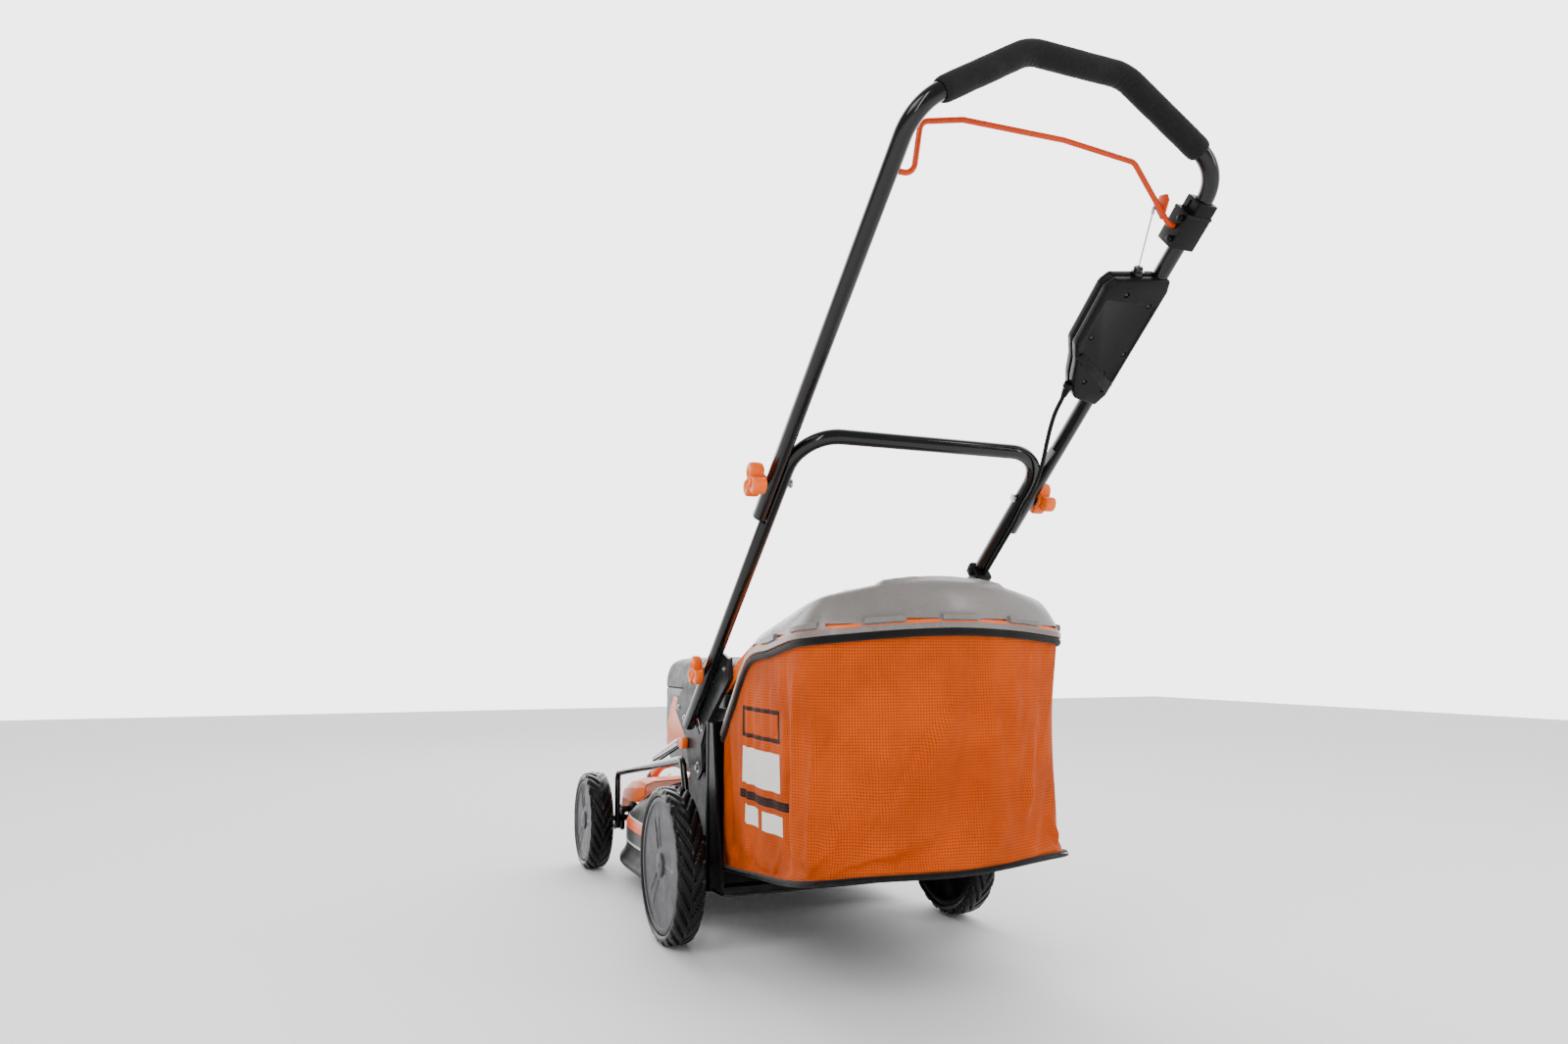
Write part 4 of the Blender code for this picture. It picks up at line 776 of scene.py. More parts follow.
def make_deck():
    outer = [(0.0085, 0.036), (0.0108, 0.0372), (0.0112, 0.04), (0.0106, 0.044), (0.0085, 0.048),
             (0.0055, 0.052), (0.0025, 0.057), (0.0005, 0.063), (-0.0002, 0.069), (-0.001, 0.07),
             (-0.001, 0.0715), (0.0, 0.0722), (0.0, 0.105), (-0.0008, 0.111), (-0.003, 0.118),
             (-0.007, 0.126), (-0.013, 0.135), (-0.021, 0.144), (-0.031, 0.153), (-0.043, 0.16),
             (-0.056, 0.165), (-0.07, 0.1672), (-0.09, 0.168), (-0.1722, 0.168)]
    inner = [(-0.1722, 0.1652), (-0.056, 0.162), (-0.031, 0.1495), (-0.015, 0.133), (-0.004, 0.11),
             (-0.003, 0.105), (-0.003, 0.062), (0.001, 0.052), (0.006, 0.043), (0.0078, 0.036)]
    deck = solid([deck_loop(*p) for p in outer + inner], ring=True)
    cut(deck, box((-0.138, 0.1, 0.103), (0.138, 0.205, 0.151)))
    piece(deck, "deck_dome", "chassis", "deck", "deck_shell", angle=32)
    ears, bolts = [], []
    for side in (-1, 1):
        low, high = sorted((side * 0.1605, side * 0.168))
        outline = [(0.466, 0.103), (0.472, 0.099), (0.5165, 0.098), (0.5165, 0.122), (0.5, 0.1262),
                   (0.468, 0.1262)]
        ear = soften(prism_x(outline, low, high), 0.001, 2)
        cut(ear, rod((side * 0.15, *FRONT_PIVOT), (side * 0.175, *FRONT_PIVOT), 0.0065))
        ears.append(ear)
        bolts.append(hex_bolt((side * 0.1842, *FRONT_PIVOT), (side, 0, 0), 0.0046, 0.0034))
    piece(gather(ears), "deck_ears", "chassis", "deck")
    piece(gather(bolts), "front_crank_bolts", "front_axle_crank", "steel")

    lift = 0.0007
    for side, word in SIDES:
        grid = []
        for z in (0.0722, 0.076, 0.086, 0.096, 0.106, 0.11, 0.115, 0.118):
            back = lift - 0.003 * smoothstep(z, 0.104, 0.119)
            row = [(side * (DECK_HALF + back + 0.0005 * k * smoothstep(0.165 - z, 0.0, 0.06)),
                    0.165 + 0.0165 * k, z)
                   for k in range(10)]
            for k in range(31):
                x, y, _ = deck_point(back, z, math.radians(66 * k / 30))
                row.append((side * x, y, z))
            grid.append(row)
        strip = thicken(skin(grid), 0.0004)
        piece(strip, f"deck_stripe_{word}", "chassis", "label", angle=30)


def make_shroud():
    """The orange cover over the nose: flat facets that meet in soft creases, folded down at the sides."""
    stations = [(0.399, 0.168, 0.175, 0.149), (0.44, 0.1705, 0.1762, 0.1335), (0.5, 0.1715, 0.1685, 0.129),
                (0.555, 0.1695, 0.1505, 0.1275), (0.59, 0.1635, 0.1322, 0.1085),
                (0.6145, 0.15, 0.1085, 0.0875)]
    grid = []
    for y, half, top, edge in stations:
        across = [(-half, edge), (-half * 0.99, (edge + top) / 2 + 0.003), (-half * 0.965, top - 0.005),
                  (-half * 0.875, top), (-half * 0.45, top + 0.002), (0, top + 0.0008)]
        across += [(-x, z) for x, z in reversed(across[:-1])]
        grid.append([(x, y, z) for x, z in across])
    cover = thicken(skin(grid), 0.0028)
    piece(soften(cover, 0.0022, 3, 12), "nose_cover", "chassis", "orange", "front_shroud", angle=24)
    screws = [hex_bolt((side * 0.1, 0.47, 0.1748), (0, 0.09, 1), 0.0032, 0.0026) for side in (-1, 1)]
    piece(gather(screws), "nose_cover_screws", "chassis", "steel")


def make_rear_frame():
    carried("rear_frame", "plastic", 0.0008)
    carried("flap_rod", "steel", 0.0004)
    bolts = []
    for side, word in SIDES:
        carried(f"handle_bracket_{word}", "bracket", 0.0007)
        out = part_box(f"handle_bracket_{word}")[1 if side > 0 else 0].x
        for y, z, size in ((0.075, 0.233, 0.0048), (0.06, 0.295, 0.0042), (0.15, 0.303, 0.003),
                           (0.182, 0.318, 0.003), (-0.045, 0.385, 0.003)):
            bolts.append(hex_bolt((out, y, z), (side, 0, 0), size, size * 0.9))
        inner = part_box(f"handle_bracket_{word}")[0 if side > 0 else 1].x
        flange = solid([[(inner - side * a, y, z) for a, y, z in row] for row in (
            ((0.0, -0.0605, 0.3985), (0.004, -0.0605, 0.3985), (0.004, -0.059, 0.4), (0.0, -0.059, 0.4)),
            ((0.0, -0.0608, 0.37), (0.004, -0.0608, 0.37), (0.004, -0.059, 0.371), (0.0, -0.059, 0.371)),
            ((0.0, 0.038, 0.2994), (0.004, 0.038, 0.2994), (0.004, 0.0395, 0.3008), (0.0, 0.0395, 0.3008)))])
        piece(soften(flange, 0.0004, 2), f"bracket_flange_{word}", "chassis", "bracket")
    piece(gather(bolts), "bracket_bolts", "chassis", "steel")
    pin = hex_bolt((-0.1842, *REAR_PIVOT), (-1, 0, 0), 0.0046, 0.0034)
    piece(pin, "rear_crank_bolt", "rear_axle_crank", "steel")
    rail = rounded_path([(-0.1868, -0.06, 0.0815), (-0.184, -0.0995, 0.082), (0.184, -0.0995, 0.082),
                         (0.1868, -0.06, 0.0815)], 0.014, 6)
    piece(swept(rail, 0.0026, 14), "rear_rail", "chassis", "gloss")


def make_spring():
    """Close-wound tension spring between the bracket and a thin hooked rod, with an orange end tab."""
    start, end = Vector((-0.1745, 0.134, 0.27)), Vector((-0.1745, 0.341, 0.2127))
    along = (end - start).normalized()
    up = Vector((1, 0, 0)).cross(along).normalized()
    coil_r, wire, turns = 0.0062, 0.00125, 58
    first, last = 0.014, (end - start).length - 0.045
    path = []
    steps = 18
    for k in range(turns * steps + 1):
        turn = k / steps
        taper = min(1.0, 0.45 + turn / 3, 0.45 + (turns - turn) / 3)
        angle = 2 * math.pi * turn
        centre = start + along * (first + (last - first) * turn / turns)
        path.append(centre + coil_r * taper * (math.cos(angle) * Vector((1, 0, 0)) + math.sin(angle) * up))
    piece(swept(path, wire, 8), "spring_coil", "chassis", "chrome", "assist_spring", angle=60)
    core = [start + along * (last - 0.004), start + along * (last + 0.02), end,
            end + along * 0.006 - up * 0.004]
    piece(swept(rounded_path(core, 0.004, 5), 0.0012, 10), "spring_rod", "chassis", "steel")
    tab = prism_x([(0.126, 0.257), (0.141, 0.256), (0.151, 0.26), (0.149, 0.27), (0.136, 0.2745),
                   (0.124, 0.2715)], -0.1785, -0.169)
    piece(soften(tab, 0.0016, 3), "spring_tab", "chassis", "orange")


# ---------------------------------------------------------------- hood and power unit
def rounded_box_loop(x, y0, y1, z, corner, steps=9, bulge=0.0):
    """Rounded rectangle in plan; bulge crowns its long sides a little."""
    loop = []
    span = (y1 - y0) / 2
    centre_y = (y0 + y1) / 2
    for cx, cy, start in ((x - corner, y0 + corner, -90), (x - corner, y1 - corner, 0),
                          (-x + corner, y1 - corner, 90), (-x + corner, y0 + corner, 180)):
        for k in range(steps + 1):
            angle = math.radians(start + 90 * k / steps)
            px, py = cx + corner * math.cos(angle), cy + corner * math.sin(angle)
            swell = 1 + bulge * (1 - ((py - centre_y) / span) ** 2)
            loop.append((px * swell, py, z))
    return loop


def blended(rows, count):
    """Rows of numbers refined to smooth curves through them."""
    made = []
    pts = [[2 * a - b for a, b in zip(rows[0], rows[1])]] + [list(r) for r in rows]
    pts += [[2 * a - b for a, b in zip(rows[-1], rows[-2])]]
    for four in zip(pts, pts[1:], pts[2:], pts[3:]):
        made += [[spline(*values, k / count) for values in zip(*four)] for k in range(count)]
    made.append(list(rows[-1]))
    return made


def make_hood():
    y0, y1 = HOOD_Y
    wall = 0.003
    outer = blended([(0.2, 0.006, 0.03), (0.215, 0.0028, 0.02), (0.235, 0.0004, 0.012),
                     (0.27, -0.0004, 0.0065), (0.31, 0.0, 0.003), (0.3395, 0.0006, 0.0004)], 3)
    outer += [[0.342, 0.0012, 0.0008], [HOOD_SPLIT_Z, 0.0024, 0.002]]
    loops = [rounded_box_loop(HOOD_HALF - inset, y0 + inset, y1 - front, z, 0.032, bulge=0.004)
             for z, inset, front in outer]
    loops += [rounded_box_loop(0.068, 0.15, 0.33, z, 0.01) for z in (HOOD_SPLIT_Z, 0.34)]
    loops += [rounded_box_loop(HOOD_HALF - inset - wall, y0 + inset + wall, y1 - front - wall, min(z, 0.34),
                               0.029)
              for z, inset, front in reversed(outer[::3])]
    hood = solid(loops, ring=True)
    bay = solid([rounded_box_loop(0.0705, 0.1475, 0.3325, z, 0.011) for z in (0.262, 0.342)])
    cut(bay, solid([rounded_box_loop(0.068, 0.15, 0.33, z, 0.01) for z in (0.2645, 0.36)]))
    join(hood, bay)
    vents = [box((-0.07 + 0.0175 * k, 0.44, 0.268), (-0.0625 + 0.0175 * k, 0.47, 0.312)) for k in range(9)]
    cut(hood, gather(vents))
    piece(hood, "hood_shell", "chassis", "hood", "hood_body", angle=32)

    for side, word in SIDES:
        edge = [(0.105, 0.218), (0.1125, 0.268), (0.122, 0.3), (0.15, 0.3165), (0.18, 0.3235), (0.25, 0.3215),
                (0.32, 0.324), (0.366, 0.329), (0.388, 0.308), (0.406, 0.28), (0.411, 0.25),
                (0.409, 0.238), (0.36, 0.244), (0.318, 0.248), (0.27, 0.236), (0.23, 0.222),
                (0.17, 0.218)]
        inner_x = HOOD_HALF + 0.001
        panel = solid([[(side * inner_x, y, z) for y, z in edge],
                       [(side * (inner_x + 0.0022), y, z) for y, z in edge]])
        piece(soften(panel, 0.001, 3), f"hood_flash_{word}", "chassis", "orange", f"hood_panel_{word}")
        ribs = [soften(box((side * 0.1226 - 0.0009, 0.19 + 0.022 * k, 0.276),
                           (side * 0.1226 + 0.0009, 0.202 + 0.022 * k, 0.28)), 0.0004, 2) for k in range(6)]
        piece(gather(ribs), f"hood_ribs_{word}", "chassis", "dark_lid")

    lid = blended([(0.3455, 0.0004, 0.0004), (0.365, 0.0014, 0.003), (0.383, 0.007, 0.01),
                   (0.392, 0.0165, 0.023), (0.3968, 0.033, 0.044), (0.398, 0.06, 0.09)], 4)
    lid = [[HOOD_SPLIT_Z + AIR, 0.0022, 0.0022]] + lid + [[0.3982, 0.09, 0.13]]
    shells = [rounded_box_loop(HOOD_HALF - inset, y0 + inset, y1 - front, z, 0.03) for z, inset, front in lid]
    top = solid(shells)
    void = [rounded_box_loop(HOOD_HALF - inset - wall, y0 + inset + wall, y1 - front - wall, z, 0.027)
            for z, inset, front in ((0.34, 0.001, 0.0), (0.365, 0.0015, 0.003), (0.381, 0.007, 0.01),
                                    (0.39, 0.018, 0.026), (0.393, 0.034, 0.045))]
    cut(top, solid(void))
    piece(top, "battery_cover", "battery_door", "dark_lid", "battery_lid", angle=30)
    latch = soften(box((-0.022, y1 - 0.006, 0.348), (0.022, y1 - 0.0005, 0.362)), 0.002, 3)
    piece(latch, "cover_latch", "battery_door", "orange")
    grooves = [swept(rounded_path([(side * 0.06, 0.13, 0.3985), (side * 0.078, 0.25, 0.3984),
                                   (side * 0.06, 0.36, 0.3978)], 0.05, 8), 0.001, 10) for side in (-1, 1)]
    piece(gather(grooves), "cover_ridges", "battery_door", "dark_lid")

    for node, coat, bevel in (("motor_can", "plastic", 0.0008), ("motor_rotor", "steel", 0.0004),
                              ("blade_adapter", "gloss", 0.0003), ("blade_bolt", "steel", 0.0003),
                              ("blade", "steel", 0.0002), ("battery_pack", "plastic", 0.0006),
                              ("safety_key", "orange", 0.0003), ("motor_controller", "board", 0.0002)):
        carried(node, coat, bevel)
    x = 0.112
    path = rounded_path([(-x, 0.556, 0.1625), (-x, 0.47, 0.1985), (x, 0.47, 0.1985), (x, 0.556, 0.1625)],
                        0.024)
    piece(swept(path, 0.0085, 28), "carry_loop", "chassis", "orange", "carry_handle")
    cuffs = [swept([Vector((sx, 0.556 - 0.01 * k, 0.1625 + 0.00419 * k)) for k in range(3)], 0.01, 28,
                   hollow=0.0086) for sx in (-x, x)]
    piece(gather(cuffs), "carry_cuffs", "chassis", "plastic")


# ---------------------------------------------------------------- handle
def make_handle_tubes():
    path = rounded_path([leg_point(-LOWER_X, LOWER_END_S), leg_point(-LOWER_X, CROSSBAR_S),
                         leg_point(LOWER_X, CROSSBAR_S), leg_point(LOWER_X, LOWER_END_S)], 0.055, 14)
    bar = swept(path, TUBE_R, 32)
    for side in (-1, 1):
        span = sorted((side * 0.205, side * (LAP_X - 0.0002)))
        cut(bar, leg_box(span, (FOLD_S - 0.064, FOLD_S + 0.085), (-0.015, 0.015)))
        cut(bar, leg_bore(side * LOWER_X, TUBE_R - 0.0014, LOWER_END_S - 0.01, LOWER_END_S + 0.04))
    piece(soften(bar, 0.0005, 2, 40), "lower_tube", "handle_lower", "gloss", "lower_handle", angle=40)

    shoulder = Vector((0.06, -0.66, 1.009))
    mirror = Vector((-1, 1, 1))
    bend = leg_point(UPPER_X, HANDLE_BEND_S)
    path = rounded_path([leg_point(-UPPER_X, UPPER_END_S), bend * mirror, shoulder * mirror, shoulder, bend,
                         leg_point(UPPER_X, UPPER_END_S)], 0.05, 12)
    bar = swept(path, TUBE_R, 32)
    for side in (-1, 1):
        span = sorted((side * 0.165, side * (LAP_X + 0.0002)))
        cut(bar, leg_box(span, (FOLD_S - 0.062, FOLD_S + 0.09), (-0.015, 0.015)))
        cut(bar, leg_bore(side * UPPER_X, TUBE_R - 0.0014, UPPER_END_S - 0.01, UPPER_END_S + 0.03))
    piece(soften(bar, 0.0005, 2, 40), "upper_tube", "handle_upper", "gloss", "upper_handle", angle=40)

    inside = [p for p in path if abs(p.x) < GRIP_HALF_X - 0.001]
    ends = []
    for near, far in ((inside[0], path[path.index(inside[0]) - 1]),
                      (inside[-1], path[path.index(inside[-1]) + 1])):
        ends.append(near.lerp(far, (GRIP_HALF_X - abs(near.x)) / (abs(far.x) - abs(near.x))))
    coarse = [ends[0]] + inside + [ends[1]]
    fine = []
    for a, b in zip(coarse, coarse[1:]):
        count = max(1, round((b - a).length / 0.0035))
        fine += [a.lerp(b, k / count) for k in range(count)]
    fine.append(coarse[-1])
    total = len(fine) - 1
    loops = []
    for i, (point, side_way, up) in enumerate(path_frames(fine)):
        loop = []
        for angle in circle(36):
            around = math.cos(angle) * side_way + math.sin(angle) * up
            closing = min(i, total - i) / 3
            r = GRIP_R - 0.0022 * max(0.0, 1 - closing) ** 2
            at_bend = sum(math.exp(-((point - p).length / 0.022) ** 2) for p in (shoulder, shoulder * mirror))
            pinch = at_bend * (0.5 + 0.5 * math.sin(i * 1.7)) * max(0.0, -around.z) * 0.0006
            soft = noise.noise(point * 55 + around * 0.9) * 0.00035
            loop.append(point + around * (r - pinch + min(0.0, soft) - 0.0001))
        loops.append(loop)
    foam = cut(solid(loops), swept(fine, TUBE_R + 0.0004, 36))
    piece(foam, "foam_grip", "handle_upper", "foam", "handle_grip", angle=50)


def star_knob(side, bolt, face, shank_end, depth, name, node, body):
    """Three-lobed knob with a domed face, its collar, washers, threaded shank and inner bolt head."""
    start = face + 0.0006
    loops = []
    for along, scale in ((0.0026, 0.5), (0.0034, 0.84), (0.0052, 0.965), (0.008, 1.0), (depth - 0.0036, 1.0),
                         (depth - 0.0014, 0.965), (depth - 0.0004, 0.89), (depth, 0.74),
                         (depth - 0.0008, 0.6),
                         (depth - 0.0022, 0.5), (depth - 0.0024, 0.2), (depth - 0.0022, 0.04)):
        loop = []
        for angle in circle(96):
            lobe = math.cos(3 * angle)
            radius = 0.0178 + 0.0072 * lobe + 0.0012 * (1 - abs(lobe)) - 0.0012 * math.cos(6 * angle)
            radius = (radius - 0.0016 * max(0.0, -lobe) ** 2) * scale
            loop.append((side * (start + along), bolt.y + radius * math.sin(angle),
                         bolt.z + radius * math.cos(angle)))
        loops.append(loop)
    knob = solid(loops)
    collar = turned([(0.0003, 0.0086), (0.0008, 0.0096), (0.0026, 0.0102), (0.004, 0.0118)],
                    (side * start, bolt.y, bolt.z), (side, 0, 0), 40)
    hub = turned([(depth - 0.0026, 0.0064), (depth - 0.001, 0.006), (depth - 0.0004, 0.0048),
                  (depth - 0.0012, 0.0036), (depth - 0.0014, 0.0002)], (side * start, bolt.y, bolt.z),
                  (side, 0, 0))
    piece(join(knob, collar, hub), name, body, "orange", node, angle=35)
    shank = turned([(0, 0.0046), (0.0004, 0.0058), (0.0024, 0.006), (0.003, 0.0056), (0.0032, 0.0031),
                    (start - shank_end - 0.0004, 0.0031)], (side * shank_end, bolt.y, bolt.z), (side, 0, 0))
    washer = turned([(0, 0.0076), (0.0002, 0.008), (0.0006, 0.008), (0.0006, 0.0033), (0, 0.0033)],
                    (side * (start - 0.0005), bolt.y, bolt.z), (side, 0, 0), 36, ring=True)
    piece(gather([shank, washer]), name + "_bolt", body, "steel")


def make_knobs():
    for side, word in SIDES:
        for kind, bolt, tube_x, shank_end, depth in (("tilt", TILT, LOWER_X, 0.1598, 0.0165),
                                                     ("fold", FOLD, UPPER_X, 0.164, 0.0215)):
            star_knob(side, bolt, tube_x + TUBE_R, shank_end, depth, f"{kind}_star_{word}",
                      f"{kind}_knob_{word}", f"{kind}_nut_{word}")


# ---------------------------------------------------------------- switch box, bail and cable
BOX_OUTLINE = [(0.16, 1.138), (0.196, 1.131), (0.2035, 1.148), (0.2035, 1.298), (0.1985, 1.313),
               (0.127, 1.302), (0.1195, 1.29), (0.1195, 1.213), (0.133, 1.19), (0.142, 1.166),
               (0.152, 1.148)]
BOX_POCKET = [(0.1235, 1.214), (0.1765, 1.214), (0.1765, 1.3), (0.129, 1.295), (0.1235, 1.288)]
BOX_DEPTH = 0.0128
WIRE_FOOT, WIRE_TOP = (0.169, 1.262, -0.006), (0.148, 1.385, 0.021)
BUTTON_AT = (0.14, 1.262)


def make_switch_box():
    wire_low, wire_high = leg_point(*WIRE_FOOT), leg_point(*WIRE_TOP)

    def half(outline, inner, outer, wall):
        shell = soften(leg_prism(outline, *sorted((inner, outer))), 0.0036, 4, 25)
        cut(shell, leg_prism(BOX_POCKET, *sorted((-2 * inner, outer - wall))))
        cut(shell, leg_bore(UPPER_X, TUBE_R + AIR, 1.05, 1.35))
        return cut(shell, rod(wire_low, wire_high, 0.0021, 16))

    back = half(BOX_OUTLINE, -0.0003, -BOX_DEPTH, -0.0026)
    recesses = [(0.1496, 1.2866), (0.188, 1.2768), (0.1352, 1.2254), (0.1925, 1.2092), (0.179, 1.179),
                (0.16, 1.164), (0.193, 1.156)]
    for x, s in recesses:
        cut(back, rod(leg_point(x, s, -0.02), leg_point(x, s, -0.0106), 0.0036, 24))
    panel = [(0.1262, 1.208), (0.1392, 1.188), (0.1985, 1.17), (0.1985, 1.278), (0.1262, 1.277)]
    cut(back, soften(leg_prism(panel, -0.016, -0.0119), 0.0006, 2))
    strap = soften(leg_prism([(0.13, 1.196), (0.1362, 1.204), (0.202, 1.166), (0.199, 1.151)],
                             -0.0138, -0.01), 0.0012, 2)
    piece(back, "box_rear_half", "handle_upper", "plastic", "switch_box_back", angle=28)
    piece(strap, "box_raised_band", "handle_upper", "plastic", angle=28)
    screws = [turned([(0, 0.0026), (0.0008, 0.0026), (0.0014, 0.0018)], leg_point(x, s, -0.0106),
                     -LEG_NORMAL, 20)
              for x, s in recesses]
    piece(gather(screws), "box_screws", "handle_upper", "gloss")

    front = half(BOX_OUTLINE, 0.0003, BOX_DEPTH, 0.0026)
    cut(front, rod(leg_point(*BUTTON_AT, 0.005), leg_point(*BUTTON_AT, 0.03), 0.01, 40))
    rim = turned([(0.0002, 0.0102), (0.0002, 0.0126), (0.0012, 0.013), (0.002, 0.0122), (0.0022, 0.0106),
                  (0.0016, 0.0101)], leg_point(*BUTTON_AT, BOX_DEPTH), LEG_NORMAL, 48, ring=True)
    piece(front, "box_front_half", "handle_upper", "plastic", "switch_box_front", angle=28)
    piece(rim, "button_rim", "handle_upper", "gloss")
    button = turned([(0, 0.0094), (0.0112, 0.0094), (0.013, 0.0088), (0.0138, 0.0074), (0.0132, 0.0056),
                     (0.0128, 0.0001)], leg_point(*BUTTON_AT, 0.0042), LEG_NORMAL, 48)
    piece(button, "start_button_cap", "button", "orange", "start_button", angle=30)
    carried("microswitch", "plastic", 0.0005)

    way = (wire_high - wire_low).normalized()
    top = wire_low.lerp(wire_high, 0.372)
    gland = turned([(-0.0025, 0.0024), (-0.0025, 0.0076), (0.002, 0.0076), (0.0028, 0.0056), (0.0066, 0.0056),
                    (0.008, 0.0046), (0.0084, 0.0024)], top, way, 32, ring=True)
    piece(gland, "wire_gland", "handle_upper", "gloss")
    exit_at = leg_point(0.1481, 1.15, -0.004)
    way_out = leg_point(0.1488, 1.13, -0.005) - exit_at
    boot = [(-0.005, 0.0052), (-0.0044, 0.0066), (0.0014, 0.007), (0.0022, 0.0062)]
    for k in range(4):
        boot += [(0.003 + 0.0026 * k, 0.0056 - 0.0004 * k), (0.0046 + 0.0026 * k, 0.0052 - 0.0004 * k)]
    boot += [(0.0146, 0.0036), (0.0146, CABLE_R + 0.0001), (-0.005, CABLE_R + 0.0001)]
    piece(turned(boot, exit_at, way_out, 28, ring=True), "cable_boot", "handle_upper", "plastic")


BAIL_LEAN = math.radians(98)
BAIL_BENDS = [(-0.187, 0.0), (-0.163, 0.0), (-0.158, 0.054), (-0.1095, 0.065), (0.0155, 0.0675),
              (0.11, 0.0605), (0.163, 0.0), (0.176, 0.0)]   # X and reach from the pivot line


def make_bail():
    pivot = leg_point(0, BAIL_S)
    lower = soften(leg_box((0.169, 0.203), (1.351, 1.3915), (-0.013, 0.015)), 0.0014, 3)
    upper = soften(leg_box((0.1772, 0.2024), (1.38, 1.406), (-0.0124, 0.0146)), 0.0014, 3)
    ledge = soften(leg_box((0.169, 0.2034), (1.3885, 1.392), (-0.0134, 0.0154)), 0.0008, 2)
    join(lower, upper, ledge)
    cut(lower, leg_bore(UPPER_X, TUBE_R + AIR, 1.3, 1.46))
    cut(lower, rod((0.15, pivot.y, pivot.z), (0.1768, pivot.y, pivot.z), 0.0036, 24))
    cut(lower, leg_box((0.174, 0.1785), (1.394, 1.403), (-0.008, 0.006)))
    piece(lower, "bail_bracket", "handle_upper", "plastic", "bail_mount", angle=28)
    studs = [rod(leg_point(0.1696, s, n), leg_point(0.164, s, n), 0.0036, 20, 0.0008)
             for s, n in ((1.36, -0.007), (1.385, -0.006))]
    piece(gather(studs), "bracket_studs", "handle_upper", "plastic")

    rising = Vector((0, math.cos(BAIL_LEAN), math.sin(BAIL_LEAN)))
    path = rounded_path([pivot + Vector((x, 0, 0)) + rising * reach for x, reach in BAIL_BENDS], 0.012, 12)
    hoop = swept(path, BAIL_R, 20)
    lug = solid([[leg_point(x, s, n) for s, n in ((1.3745, 0.004), (1.383, 0.0035), (1.3965, 0.009),
                                                  (1.4, 0.016),
                                                  (1.3935, 0.0248), (1.38, 0.0235))] for x in (0.151, 0.154)])
    piece(join(hoop, soften(lug, 0.0008, 2)), "bail_hoop", "bail_lever", "orange_paint", "bail", angle=35)

    low, high = leg_point(*WIRE_FOOT), leg_point(*WIRE_TOP)
    way = (high - low).normalized()
    wire = swept([low.lerp(high, k / 8) for k in range(9)], 0.0009, 10)
    ferrule = rod(high - way * 0.012, high - way * 0.004, 0.0019, 16, 0.0003)
    turn = [high + 0.0022 * (math.cos(a) * way + math.sin(a) * way.cross(Vector((1, 0, 0))))
            for a in circle(20)]
    eye = swept(turn + turn[:1], 0.0006, 8)
    piece(gather([wire, ferrule, eye]), "bail_wire_rod", "bail_wire", "steel", "pull_wire", angle=60)


CABLE_UPPER = [(0.148, 1.148, -0.004), (0.1488, 1.13, -0.005), (0.1488, 1.1118, -0.0065),
               (0.151, 1.092, -0.0095), (0.156, 1.068, -0.013), (0.1606, 1.049, -0.016),
               (0.165, 1.03, -0.0178), (0.17, 1.001, -0.0185), (0.1725, 0.975, -0.018),
               (0.172, 0.96, -0.017)]
CABLE_LOWER = [(0.1724, 0.959, -0.017), (0.177, 0.93, -0.015), (0.178, 0.9, -0.014),
               (0.178, 0.86, -0.014), (0.178, 0.817, -0.014), (0.178, 0.77, -0.014),
               (0.1745, 0.73, -0.014), (0.167, 0.695, -0.0135), (0.1605, 0.66, -0.013),
               (0.1598, 0.625, -0.013), (0.1598, 0.5905, -0.013)]
CLIP_S = 0.817


def make_cable():
    """The power cable in two runs that meet in the clip; each runs across one of the handle's joints."""
    clip_at = [p for p in CABLE_LOWER if p[1] >= CLIP_S]
    high_run = [leg_point(*p) for p in CABLE_UPPER[:-1] + clip_at]
    run = swept(smooth_path(high_run, 0.005), CABLE_R, 16)
    placed(run, "power_cable_high", "cable")
    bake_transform(run)
    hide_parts("cable_upper")

    start = leg_point(0.1598, 0.5898, -0.013)
    low_run = [leg_point(*p) for p in CABLE_LOWER if p[1] <= CLIP_S]
    low_run += [start + Vector((-0.0002, 0.02, -0.0125)), Vector((0.159, 0.025, 0.344)),
                Vector((0.15, 0.052, 0.337)), Vector((0.135, 0.076, 0.33)), Vector((0.1206, 0.087, 0.325))]
    run = swept(smooth_path(low_run, 0.005), CABLE_R, 16)
    placed(run, "power_cable_low", "cable")
    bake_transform(run)
    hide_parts("cable_lower", "cable_hood")

    clip = soften(leg_box((0.164, 0.1915), (0.81, 0.824), (-0.019, 0.0125)), 0.0042, 4)
    cut(clip, leg_bore(LOWER_X, TUBE_R + AIR, 0.79, 0.85))
    cut(clip, leg_bore(0.178, CABLE_R + AIR, 0.79, 0.85, -0.014))
    piece(clip, "cable_clip_ring", "handle_lower", "plastic", "cable_clip", angle=28)
    ear = soften(leg_box((0.159, 0.165), (0.813, 0.821), (-0.008, 0.004)), 0.0014, 3)
    piece(ear, "cable_clip_ear", "handle_lower", "plastic")
    grommet = turned([(0, 0.0034), (0, 0.0072), (0.0022, 0.007), (0.005, 0.0046), (0.0066, 0.0034)],
                     (0.1204, 0.0865, 0.3248), (1, -0.75, 0.35), 28, ring=True)
    piece(grommet, "hood_grommet", "chassis", "plastic")


# ---------------------------------------------------------------- rear flap and grass bag
FLAP_X = (-0.1575, 0.148)


